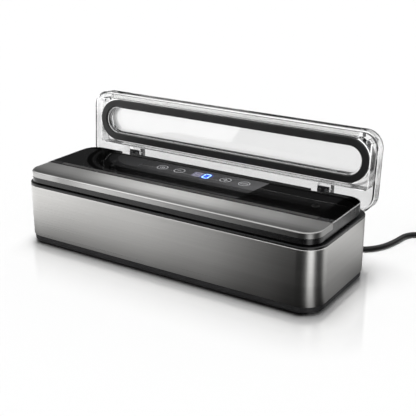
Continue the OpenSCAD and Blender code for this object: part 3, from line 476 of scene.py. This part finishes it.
# ---- Circuit boards ----
# Lacquered glass-fibre boards with printed tracks: one for power with its transformer and parts,
# one under the glass for the touch keys, with the display module on it.
k = Shader("circuit_board")
cells = k.node("TexVoronoi", Vector=k.place((260.0, 520.0, 1.0)), Scale=1.0, set_feature="DISTANCE_TO_EDGE",
               set_distance="MANHATTAN").outputs["Distance"]
track = k.step(cells, 0.10, 0.14)
k.set(Base_Color=k.tint(track, (0.10, 0.26, 0.12), (0.015, 0.09, 0.04)), Roughness=0.3)
k.bump(track, 0.2, 0.00002)
finish_with(cad_node["power_board"], k.material)
finish_with(cad_node["touch_board"], k.material)
finish_with(cad_node["transformer"], copper)
for name in ("board_parts", "pressure_sensor", "terminal_block"):
    finish_with(cad_node[name], nylon)
display_epoxy = moulded("display_epoxy", (0.02, 0.02, 0.03), (0.03, 0.03, 0.045), 0.3)
finish_with(cad_node["display_module"], display_epoxy)
finish_with(cad_node["lid_sensors"], plinth_plastic)


# ---- Steel wrap and housing ----
# A thin sheet of brushed gunmetal steel bent round the housing. The brushing runs along the
# sheet, level all round. The moulded housing shows only as the rim above it.
gunmetal = brushed("brushed_gunmetal", (0.46, 0.455, 0.445), (0.56, 0.553, 0.54), 0.33)
finish_with(cad_node["steel_wrap"], gunmetal)
housing_plastic = moulded("housing_plastic", (0.006, 0.006, 0.0065), (0.01, 0.01, 0.0105), 0.3)
finish_with(cad_node["body_shell"], housing_plastic)
seal_rubber = moulded("seal_rubber", (0.002, 0.002, 0.002), (0.004, 0.004, 0.004), 0.9)
finish_with(cad_node["neck_seal"], seal_rubber)


# ---- Strain relief and plug ----
# A black rubber relief, clipped in the housing's back wall, tapers along the cord in stepped ribs.
# The plug is moulded on the cord's other end, with grip bars on its flat faces.
def lofted(name, sections, centre, sides=40):
    """A closed body along y: (along, width, height) of rounded sections, in millimetres."""
    mesh = bmesh.new()
    rings = []
    for along, wide, high in sections:
        bow = high / 2
        ring = []
        for n in range(sides):
            a = 2 * math.pi * (n + 0.5) / sides
            x = math.copysign((wide - high) / 2, math.cos(a)) + bow * math.cos(a)
            ring.append(mesh.verts.new(from_body(centre[0] + x, centre[1] + along,
                                                 centre[2] + bow * math.sin(a))))
        rings.append(ring)
    for a, b in zip(rings, rings[1:]):
        for n in range(sides):
            mesh.faces.new((a[n], a[(n + 1) % sides], b[(n + 1) % sides], b[n])).smooth = True
    mesh.faces.new(rings[0])
    mesh.faces.new(rings[-1])
    bmesh.ops.recalc_face_normals(mesh, faces=mesh.faces)
    data = bpy.data.meshes.new(name)
    mesh.to_mesh(data)
    mesh.free()
    data.set_sharp_from_angle(angle=math.radians(40))
    made = bpy.data.objects.new(name, data)
    bpy.context.scene.collection.objects.link(made)
    return made


def input_socket(tree, name, kind, value=None):
    made = tree.interface.new_socket(name=name, in_out="INPUT", socket_type="NodeSocket" + kind)
    if value is not None:
        made.default_value = value
    return made


def repeat_tree(name, ring):
    """Geometry Nodes: a ring (or a block) of given sizes at each given point, each one smaller than
    the one before by Taper."""
    tree = bpy.data.node_groups.new(name, "GeometryNodeTree")
    input_socket(tree, "Points", "Geometry")
    input_socket(tree, "Size", "Vector", (0.005, 0.001, 0.001))
    input_socket(tree, "Turn", "Vector", (0.0, 0.0, 0.0))
    input_socket(tree, "Taper", "Float", 0.0)
    input_socket(tree, "Finish", "Material")
    tree.interface.new_socket(name="Made", in_out="OUTPUT", socket_type="NodeSocketGeometry")
    n, link = tree.nodes.new, tree.links.new
    given, made = n("NodeGroupInput"), n("NodeGroupOutput")
    if ring:
        parts = n("ShaderNodeSeparateXYZ")
        circle, outline = n("GeometryNodeCurvePrimitiveCircle"), n("GeometryNodeCurvePrimitiveQuadrilateral")
        circle.inputs["Resolution"].default_value = 64
        body = n("GeometryNodeCurveToMesh")
        link(given.outputs["Size"], parts.inputs[0])
        link(parts.outputs["X"], circle.inputs["Radius"])
        link(parts.outputs["Y"], outline.inputs["Width"])
        link(parts.outputs["Z"], outline.inputs["Height"])
        link(circle.outputs[0], body.inputs["Curve"])
        link(outline.outputs[0], body.inputs["Profile Curve"])
    else:
        body = n("GeometryNodeMeshCube")
        link(given.outputs["Size"], body.inputs["Size"])
    index, times, less = n("GeometryNodeInputIndex"), n("ShaderNodeMath"), n("ShaderNodeMath")
    times.operation, less.operation = "MULTIPLY", "SUBTRACT"
    less.inputs[0].default_value = 1.0
    spread = n("GeometryNodeInstanceOnPoints")
    real, paint = n("GeometryNodeRealizeInstances"), n("GeometryNodeSetMaterial")
    link(index.outputs[0], times.inputs[0])
    link(given.outputs["Taper"], times.inputs[1])
    link(times.outputs[0], less.inputs[1])
    link(less.outputs[0], spread.inputs["Scale"])
    link(given.outputs["Turn"], spread.inputs["Rotation"])
    link(given.outputs["Points"], spread.inputs["Points"])
    link(body.outputs[0], spread.inputs["Instance"])
    link(spread.outputs[0], real.inputs[0])
    link(real.outputs[0], paint.inputs["Geometry"])
    link(given.outputs["Finish"], paint.inputs["Material"])
    link(paint.outputs[0], made.inputs[0])
    return tree


def grown(name, points, tree, **settings):
    """A plain mesh grown by a Geometry Nodes tree on the given points."""
    data = bpy.data.meshes.new(name)
    data.from_pydata([tuple(p) for p in points], [], [])
    made = bpy.data.objects.new(name, data)
    bpy.context.scene.collection.objects.link(made)
    modifier = made.modifiers.new("grow", "NODES")
    modifier.node_group = tree
    for item in tree.interface.items_tree:
        if item.in_out == "INPUT" and item.name.lower() in settings:
            modifier[item.identifier] = settings[item.name.lower()]
    graph = bpy.context.evaluated_depsgraph_get()
    graph.update()
    made_mesh = bpy.data.meshes.new_from_object(made.evaluated_get(graph))
    made.modifiers.remove(modifier)
    made.data = made_mesh
    mesh = bmesh.new()
    mesh.from_mesh(made_mesh)
    bmesh.ops.recalc_face_normals(mesh, faces=mesh.faces)
    mesh.to_mesh(made_mesh)
    mesh.free()
    return made


def joined(name, *objects):
    """Several meshes as one object, with their own materials."""
    base = objects[0]
    mesh = bmesh.new()
    for o in objects:
        mesh.from_mesh(o.data)
    mesh.to_mesh(base.data)
    mesh.free()
    for o in objects[1:]:
        bpy.data.objects.remove(o)
    base.name = base.data.name = name
    return base


relief_rubber = moulded("relief_rubber", (0.005, 0.005, 0.0055), (0.009, 0.009, 0.01), 0.42, 900.0)
ring_tree, block_tree = repeat_tree("repeated_rings", True), repeat_tree("repeated_blocks", False)
relief_place, plug_place = (96, 66, 20), (287, 276, 7)
relief_core = lofted("relief_core", [
    (-6, 11, 11), (-5, 12, 12), (-3.6, 12, 12), (-3.5, 10, 10), (0.1, 10, 10), (0.2, 14.6, 14.6),
    (0.5, 15.2, 15.2), (1.7, 15.2, 15.2), (2.1, 14.4, 14.4), (2.2, 10.6, 10.6), (3.4, 9.2, 9.2),
    (23.4, 7.0, 7.0), (24, 6.5, 6.5)], relief_place)
relief_ribs = grown("relief_ribs", [from_body(96, 66 + 4.2 + 2.05 * n, 20) for n in range(9)], ring_tree,
                    size=(0.0045, 0.0018, 0.00115), turn=(math.pi / 2, 0, 0), taper=0.031,
                    finish=relief_rubber)
relief = finish_with(joined("ribbed_relief", relief_core, relief_ribs), relief_rubber)
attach(relief, "base")
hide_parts("strain_relief")
plug_body = lofted("plug_body", [
    (0, 6.6, 6.6), (0.4, 7.2, 7.2), (5, 8.0, 8.0), (13.5, 9.8, 9.8), (14.6, 15, 10.4), (16, 18, 10.8),
    (20, 27, 12), (24, 34.2, 12.8), (25, 34.8, 13), (36.4, 34.8, 13), (36.8, 34.2, 12.4), (37, 33.4, 11.6)],
    plug_place)
grips = [from_body(287 + 3.4 * n, 304, 7 + side * 6.25) for side in (-1, 1) for n in range(-3, 4)]
plug_grips = grown("plug_grips", grips, block_tree, size=(0.0012, 0.011, 0.0005), finish=relief_rubber)
plug = finish_with(joined("moulded_plug", plug_body, plug_grips), relief_rubber)
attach(plug, "base")
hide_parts("cord_plug")
finish_with(cad_node["plug_pins"], screw_steel)


# ---- Deck ----
# A moulded frame carries a formed sheet of satin metal along its front, bent round both corners.
# Behind it a plate of black glass is set flush into the frame.
frame_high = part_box("deck_frame")[1]
e = Shader("frame_plastic")
axes = e.node("SeparateXYZ", Vector=e.place()).outputs
# A painted highlight: the frame's top edge is paler at both its ends
at_end = e.step(e.math("ABSOLUTE", axes[0]), frame_high.x - 0.0016, frame_high.x - 0.0011)
painted_edge_highlight = e.math("MULTIPLY", at_end, e.step(axes[2], frame_high.z - 0.0007, frame_high.z - 0.0003))
e.set(Base_Color=e.tint(painted_edge_highlight, (0.006, 0.006, 0.0065), (0.28, 0.28, 0.28)),
      Roughness=e.span(e.noise(e.place(), 60.0, 4.0), 0.2, 0.3))
e.bump(e.noise(e.place(), 900.0, 2.0), 0.3, 0.00002)
finish_with(cad_node["deck_frame"], e.material)

cap_low, cap_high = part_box("front_cap")
m = Shader("cap_satin_metal")
fine = m.noise(m.place((14.0, 2400.0, 2400.0)), 1.0, 3.0, 0.6)
axes = m.node("SeparateXYZ", Vector=m.place()).outputs
# The cap's light and dark are painted in its colour: a painted shade that darkens towards the front
# edge, a painted sheen along it, painted light along the lip and a painted bright line round the
# rim. They don't follow the lamps
corner_r = 0.019
in_x = m.math("MAXIMUM", m.math("SUBTRACT", m.math("ABSOLUTE", axes[0]), cap_high.x - corner_r), 0.0)
in_y = m.math("MAXIMUM", m.math("SUBTRACT", cap_low.y + corner_r, axes[1]), 0.0)
gap = m.math("SQRT", m.math("ADD", m.math("MULTIPLY", in_x, in_x), m.math("MULTIPLY", in_y, in_y)))
gap = m.math("SUBTRACT", corner_r, gap)
back = m.span(axes[1], 0.0, 1.0, cap_low.y, cap_high.y)
painted_front_shade = m.ramp(back, [(0.0, 0.3), (0.062, 0.3), (0.15, 0.36), (0.32, 0.62), (0.52, 0.9), (0.7, 1.0)])
rim = m.ramp(m.span(gap, 0.0, 1.0, 0.0, 0.005), [(0.0, 1.0), (0.1, 1.0), (0.18, 0.6), (0.45, 0.6)])
painted_front_shade = m.node("Mix", set_data_type="RGBA", i0=m.step(gap, 0.0020, 0.0023), i6=rim, i7=painted_front_shade).outputs[2]

along = m.span(axes[0], 0.0, 1.0, cap_low.x, cap_high.x)
sheen = m.ramp(along, [(0.0, 0.36), (0.14, 0.46), (0.3, 0.80), (0.45, 0.95), (0.6, 0.86), (0.78, 0.5),
                       (1.0, 0.27)])
painted_lip_highlight = m.ramp(along, [(0.0, 0.5), (0.1, 0.5), (0.15, 0.36), (0.27, 0.58), (0.42, 0.58), (0.75, 0.4),
                     (0.86, 0.38), (0.94, 0.34)])
sheen = m.node("Mix", set_data_type="RGBA", i0=m.step(gap, 0.0020, 0.0023), i6=painted_lip_highlight, i7=sheen).outputs[2]
metal = m.tint(m.span(fine, 0, 1), (0.78, 0.775, 0.765), (0.86, 0.855, 0.84))
m.set(Base_Color=m.times(m.times(painted_front_shade, sheen), metal), Metallic=1.0, Roughness=m.span(fine, 0.34, 0.38))
m.bump(fine, 0.12, 0.000006)
cap_metal = m.material
finish_with(cad_node["front_cap"], cap_metal)
g = Shader("black_glass")
axes = g.node("SeparateXYZ", Vector=g.place()).outputs
# A painted reflection of the lid lies in the glass under the marks: a grey field with bands that
# follow its rounded outline. A painted glare makes it paler to the right until a slanting edge.
field_end, field_back = -0.0955, body_centre.y + 0.052
beyond = g.math("MAXIMUM", g.math("SUBTRACT", field_end, axes[0]), 0.0)
ahead = g.math("SUBTRACT", field_back, axes[1])
rim = g.math("SQRT", g.math("ADD", g.math("MULTIPLY", beyond, beyond), g.math("MULTIPLY", ahead, ahead)))
painted_reflection_bands = g.ramp(g.span(rim, 0.0, 1.0, 0.0, 0.080),
               [(0.0, 1.0), (0.445, 1.0), (0.465, 0.5), (0.56, 0.42), (0.60, 0.05), (0.76, 0.05),
                (0.79, 0.3), (0.82, 0.5), (0.85, 0.08), (0.90, 0.08), (0.93, 0.75)])
inside = g.math("MULTIPLY", g.step(axes[1], field_back - 0.0062, field_back - 0.0052, 1.0, 0.0),
                g.step(axes[0], 0.163, 0.167, 1.0, 0.0))
slant = g.math("SUBTRACT", g.math("SUBTRACT", axes[0], 0.0715),
               g.math("MULTIPLY", g.math("SUBTRACT", axes[1], body_centre.y), 0.1))
# A painted glare: the grey grows paler to the right until the slanting edge
pale = g.ramp(g.span(axes[0], 0.0, 1.0, -0.145, 0.075),
              [(0.0, 0.012), (0.27, 0.027), (0.43, 0.040), (0.7, 0.055), (1.0, 0.085)])
pale = g.math("MULTIPLY", pale, g.step(slant, -0.0004, 0.0004, 1.0, 0.0))
painted_reflection_grey = g.math("MULTIPLY", g.math("MULTIPLY", painted_reflection_bands, inside), g.math("ADD", pale, 0.005))
# The specular level changes over the glass, and an exported model loses such a level
polish = g.math("MULTIPLY", g.step(slant, -0.0004, 0.0004, 1.0, 0.3), g.step(axes[0], -0.10, -0.02))
polish = g.math("MULTIPLY", g.math("MULTIPLY", painted_reflection_bands, inside), polish)
g.set(Base_Color=g.node("CombineColor", i0=painted_reflection_grey, i1=painted_reflection_grey, i2=g.math("MULTIPLY", painted_reflection_grey, 1.03)).outputs[0],
      Roughness=g.span(g.noise(g.place(), 14.0, 5.0), 0.015, 0.04), IOR=1.45,
      Specular_IOR_Level=g.math("ADD", 0.02, g.math("MULTIPLY", polish, 0.48)))
finish_with(cad_node["glass_panel"], g.material)
port_plastic = moulded("port_plastic", (0.001, 0.001, 0.001), (0.003, 0.003, 0.003), 0.5,
                       Specular_IOR_Level=0.08)
finish_with(cad_node["vacuum_port"], port_plastic)
finish_with(cad_node["port_screen"], port_plastic)


# ---- Weld line ----
# A ribbon of heating wire on a laminated bar, under a tape of coated glass cloth whose fine weave
# shows. It is bedded flush in the deck between the cap and the glass.
t = Shader("weld_tape_cloth")
threads = t.place((1400.0, 1400.0, 1400.0))
warp = t.node("TexWave", Vector=threads, Scale=0.35, set_bands_direction="X").outputs[1]
weft = t.node("TexWave", Vector=threads, Scale=0.35, set_bands_direction="Y").outputs[1]
cloth = t.math("MAXIMUM", warp, weft)
t.set(Base_Color=t.tint(cloth, (0.003, 0.0028, 0.0025), (0.008, 0.0075, 0.007)), Roughness=0.6)
t.bump(cloth, 0.3, 0.00003)
finish_with(cad_node["release_tape"], t.material)
wire_metal = brushed("wire_metal", (0.5, 0.49, 0.46), (0.6, 0.59, 0.56), 0.35)
finish_with(cad_node["heater_wire"], wire_metal)
bar_laminate = moulded("bar_laminate", (0.16, 0.09, 0.05), (0.22, 0.13, 0.08), 0.6, 500.0)
finish_with(cad_node["heater_bar"], bar_laminate)


# ---- Printed marks and display ----
# Marks are printed under the glass in pale grey: four touch rings with their signs. Between them
# a two-figure display glows blue through a window in the print. The panel is otherwise bare.
glass_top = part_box("glass_panel")[1].z
print_height = glass_top + 0.00002


def printed(name, polygons, material, lift=0.0):
    """Flat printed shapes on the glass: lists of points in millimetres from the body's middle."""
    mesh = bmesh.new()
    for points in polygons:
        face = mesh.faces.new([mesh.verts.new(from_body(x, y, 0) + Vector((0, 0, print_height + lift)))
                               for x, y in points])
        if face.normal.z < 0:
            face.normal_flip()
    mesh.normal_update()
    for face in mesh.faces:
        if face.normal.z < 0:
            face.normal_flip()
    data = bpy.data.meshes.new(name)
    mesh.to_mesh(data)
    mesh.free()
    made = bpy.data.objects.new(name, data)
    bpy.context.scene.collection.objects.link(made)
    finish_with(made, material)
    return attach(made, "base")


def bar_shape(cx, cy, length, width, turn=0.0):
    """A rounded bar as a polygon."""
    c, s = math.cos(math.radians(turn)), math.sin(math.radians(turn))
    r = width / 2
    flat = [(length / 2 - r + r * math.cos(a), r * math.sin(a))
            for a in (math.radians(d) for d in range(-90, 91, 30))]
    flat += [(-x, -y) for x, y in flat]
    return [(cx + c * x - s * y, cy + s * x + c * y) for x, y in flat]


def arc_shapes(cx, cy, radius, width, start, stop, steps):
    """Quads along an arc."""
    out = []
    for i in range(steps):
        a, b = (math.radians(start + (stop - start) * k / steps) for k in (i, i + 1))
        r0, r1 = radius - width / 2, radius + width / 2
        out.append([(cx + r0 * math.cos(a), cy + r0 * math.sin(a)),
                    (cx + r1 * math.cos(a), cy + r1 * math.sin(a)),
                    (cx + r1 * math.cos(b), cy + r1 * math.sin(b)),
                    (cx + r0 * math.cos(b), cy + r0 * math.sin(b))])
    return out


# The print's own colour is pale grey. It also gives off a faint light of its own, a painted glow that makes
# it paler
p = Shader("pale_print_painted_glow")
p.set(Base_Color=p.tint(p.noise(p.place(), 900.0), (0.36, 0.36, 0.37), (0.42, 0.42, 0.43)),
      Roughness=p.span(p.noise(p.place(), 200.0), 0.25, 0.4), Emission_Color=(0.8, 0.82, 0.85, 1),
      Emission_Strength=0.32)
pale_print_painted_glow = p.material
ring_centres = [(-58.1, 30.5), (-34.0, 30.5), (28.5, 30.5), (52.8, 30.5)]
rings = grown("touch_rings",
              [from_body(x, y, 0) + Vector((0, 0, print_height)) for x, y in ring_centres],
              ring_tree, size=(0.0064, 0.00055, 0.00001), finish=pale_print_painted_glow)
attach(rings, "base")
(x1, y1), (x2, y2), (x3, y3), (x4, y4) = ring_centres
signs = arc_shapes(x1, y1, 2.6, 0.5, 0, 360, 24)
signs += [bar_shape(x1, y1, 2.2, 0.6)]
signs += [bar_shape(x2, y2, 6.0, 0.6)]
signs += [bar_shape(x3, y3, 6.4, 0.6), bar_shape(x3, y3 + 1.75, 2.9, 0.6, 90),
          bar_shape(x3, y3 - 1.75, 2.9, 0.6, 90)]
signs += [bar_shape(x4, y4 + 1.6, 5.4, 0.5), bar_shape(x4, y4 - 1.6, 5.4, 0.5)]
signs += arc_shapes(x4 - 2.7, y4, 1.6, 0.5, 90, 270, 8) + arc_shapes(x4 + 2.7, y4, 1.6, 0.5, -90, 90, 8)
printed("touch_signs", signs, pale_print_painted_glow)

figure_high, figure_wide, figure_line, figure_lean = 12.6, 7.2, 1.7, -0.12


def figure_bars(cx, cy, bars):
    """The bars of a seven-bar figure that are named, as polygons."""
    h, w, k = figure_high / 2, figure_wide / 2, figure_line / 2
    g = 0.22
    shapes = {
        "top": ((-w, h), (w, h)), "middle": ((-w, 0), (w, 0)), "bottom": ((-w, -h), (w, -h)),
        "upper_left": ((-w, h), (-w, 0)), "upper_right": ((w, h), (w, 0)),
        "lower_left": ((-w, 0), (-w, -h)), "lower_right": ((w, 0), (w, -h))}
    out = []
    for bar in bars:
        (ax, ay), (bx, by) = shapes[bar]
        if ay == by:
            points = [(ax + g, ay), (ax + g + k, ay + k), (bx - g - k, ay + k), (bx - g, ay),
                      (bx - g - k, ay - k), (ax + g + k, ay - k)]
        else:
            points = [(ax, ay - g), (ax + k, ay - g - k), (ax + k, by + g + k), (ax, by + g),
                      (ax - k, by + g + k), (ax - k, ay - g - k)]
        out.append([(cx + x + figure_lean * y, cy + y) for x, y in points])
    return out


def soft_patch(name, colour, strength, centre, reach, falloff=1.6):
    """A glow that fades from its middle outwards, on Object coordinates."""
    s = Shader(name)
    s.tree.nodes.remove(s.surface)
    middle = from_body(*centre, 0)
    off = s.node("Mapping", Vector=s.node("TexCoord").outputs["Object"],
                 Location=(-middle.x / reach[0], -middle.y / reach[1], 0),
                 Scale=(1 / reach[0], 1 / reach[1], 0)).outputs[0]
    far = s.node("VectorMath", set_operation="LENGTH", i0=off).outputs["Value"]
    fade = s.math("POWER", s.math("MAXIMUM", s.math("SUBTRACT", 1.0, far), 0.0), falloff)
    glow = s.node("Emission", Color=(*colour, 1), Strength=strength).outputs[0]
    mixed = s.node("MixShader", i0=fade, i1=s.node("BsdfTransparent").outputs[0], i2=glow).outputs[0]
    s.link(mixed, s.output.inputs["Surface"])
    return s.material


all_bars = ("top", "middle", "bottom", "upper_left", "upper_right", "lower_left", "lower_right")
left_figure, right_figure = (-8.6, 30.3), (3.4, 30.2)
window_tint = Shader("display_window_tint")
window_tint.set(Base_Color=window_tint.tint(window_tint.noise(window_tint.place(), 80.0),
                                            (0.11, 0.105, 0.14), (0.14, 0.135, 0.175)),
                Roughness=0.12, Emission_Color=(0.42, 0.40, 0.62, 1), Emission_Strength=0.16)
x, y = left_figure
printed("display_window",
        [[(x + u * 6.2 + figure_lean * v * 6.9, y + v * 6.9)
          for u, v in ((-1, -1), (1, -1), (1, 1), (-1, 1))]], window_tint.material, -0.000008)
d = Shader("unlit_figure_bar")
d.set(Base_Color=d.tint(d.noise(d.place(), 300.0), (0.16, 0.155, 0.2), (0.2, 0.195, 0.24)),
      Roughness=0.3, Emission_Color=(0.5, 0.5, 0.75, 1), Emission_Strength=0.06)
printed("unlit_figure", figure_bars(*left_figure, all_bars), d.material)
b = Shader("lit_figure_bar")
b.set(Base_Color=(0.02, 0.03, 0.2, 1), Roughness=b.span(b.noise(b.place(), 300.0), 0.3, 0.4),
      Emission_Color=(0.24, 0.46, 1.0, 1), Emission_Strength=2.8)
printed("lit_figure", figure_bars(*right_figure, [bar for bar in all_bars if bar != "middle"]),
        b.material, 0.00001)
x, y = right_figure
printed("figure_glow", [[(x - 9, y - 11), (x + 9, y - 11), (x + 9, y + 11), (x - 9, y + 11)]],
        soft_patch("figure_glow", (0.06, 0.14, 0.85), 1.5, right_figure, (0.0085, 0.0115)), -0.000004)


# ---- Lid ----
# One clear moulding: a shallow tray with a rib frame, a channel for the black gasket, a recessed
# vacuum chamber and two posts for the magnets. A painted shade darkens its walls where they are seen
# edge-on.
c = Shader("clear_lid_plastic")
# Painted shade: darker where the walls are seen edge-on
edge = c.ramp(c.node("LayerWeight", Blend=0.5).outputs["Facing"],
              [(0.0, 0.98), (0.3, 0.97), (0.5, 0.93), (0.65, 0.84), (0.8, 0.38), (1.0, 0.08)])
# The chamber's window is the thinnest and clearest part; a painted shade darkens its margin next to its side
# walls
ring_low, ring_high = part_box("lid_gasket")
middle, half_h = (ring_low + ring_high) / 2, (ring_high.z - ring_low.z) / 2
axes = c.node("SeparateXYZ", Vector=c.place()).outputs
past_end = c.math("MAXIMUM", c.math("SUBTRACT", c.math("ABSOLUTE", axes[0]),
                                    ring_high.x - half_h), 0.0)
up = c.math("SUBTRACT", axes[2], middle.z)
far = c.math("SQRT", c.math("ADD", c.math("MULTIPLY", past_end, past_end), c.math("MULTIPLY", up, up)))
far = c.math("ADD", far, c.math("MULTIPLY", c.math("MAXIMUM", up, 0.0), 0.12))
window = c.ramp(c.span(far, 0.0, 1.0, half_h - 0.018, half_h - 0.002),
                [(0.0, 0.89), (0.35, 0.86), (0.6, 0.72), (0.75, 0.55), (0.9, 0.6), (1.0, 0.78)])
# A painted grey shade at the left end only, as that end wall looks from the camera's side
left_end = c.math("SUBTRACT", c.math("MULTIPLY", axes[0], -1.0), ring_high.x - half_h)
painted_end_wall_shade = c.math("MULTIPLY", c.step(far, half_h - 0.015, half_h - 0.011),
                  c.step(far, half_h - 0.007, half_h - 0.004, 1.0, 0.0))
painted_end_wall_shade = c.math("MULTIPLY", painted_end_wall_shade, c.step(left_end, 0.002, 0.010))
window = c.math("MULTIPLY", window, c.math("SUBTRACT", 1.0, c.math("MULTIPLY", painted_end_wall_shade, 0.55)))
# Painted light: the lid is paler above the gasket. Painted shade: a dark line runs a little below it
above = c.math("MULTIPLY", c.step(up, 0.0, half_h * 0.5), c.step(far, half_h - 0.001, half_h + 0.001))
above = c.math("ADD", 1.0, c.math("MULTIPLY", above, 0.28))
below = c.step(up, -0.004, 0.0, 1.0, 0.0)
painted_dark_line = c.math("MULTIPLY", c.step(far, half_h + 0.0040, half_h + 0.0046),
                   c.step(far, half_h + 0.0064, half_h + 0.0072, 1.0, 0.0))
above = c.math("MULTIPLY", above, c.math("SUBTRACT", 1.0, c.math("MULTIPLY", painted_dark_line,
                                                                 c.math("MULTIPLY", below, 0.45))))
straight = c.math("MULTIPLY", below, c.step(past_end, 0.0, 0.004, 1.0, 0.0))
beside_ring = c.math("MULTIPLY", c.math("MULTIPLY", c.step(far, half_h, half_h + 0.001), straight),
                     c.step(far, half_h + 0.003, half_h + 0.0036, 1.0, 0.0))
# The strip beside the gasket gives off light of its own, for the white line there
shade = c.math("MULTIPLY", edge, c.math("MULTIPLY", window, above))
shade = c.math("MAXIMUM", shade, c.math("MULTIPLY", beside_ring, 0.97))
c.set(Emission_Color=(1, 1, 1, 1), Emission_Strength=c.math("MULTIPLY", beside_ring, 0.45))
c.set(Base_Color=c.node("CombineColor", i0=shade, i1=shade, i2=shade).outputs[0], Transmission_Weight=1.0,
      IOR=1.46, Roughness=c.span(c.noise(c.place(), 25.0, 4.0), 0.0, 0.03))
finish_with(cad_node["lid_shell"], c.material)
gasket_rubber = moulded("gasket_rubber", (0.005, 0.005, 0.005), (0.010, 0.010, 0.0105), 0.5, 1300.0)
finish_with(cad_node["lid_gasket"], gasket_rubber)
hinge_steel = moulded("hinge_steel", (0.03, 0.03, 0.032), (0.05, 0.05, 0.053), 0.3, 600.0)
for name in ("hinge_bracket_left", "hinge_bracket_right", "hinge_arm_left", "hinge_arm_right"):
    finish_with(cad_node[name], hinge_steel)
finish_with(cad_node["press_strip"], silicone)
for name in ("hinge_pin_left", "hinge_pin_right", "bracket_screws", "arm_screws", "lid_magnets"):
    finish_with(cad_node[name], screw_steel)


low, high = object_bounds()
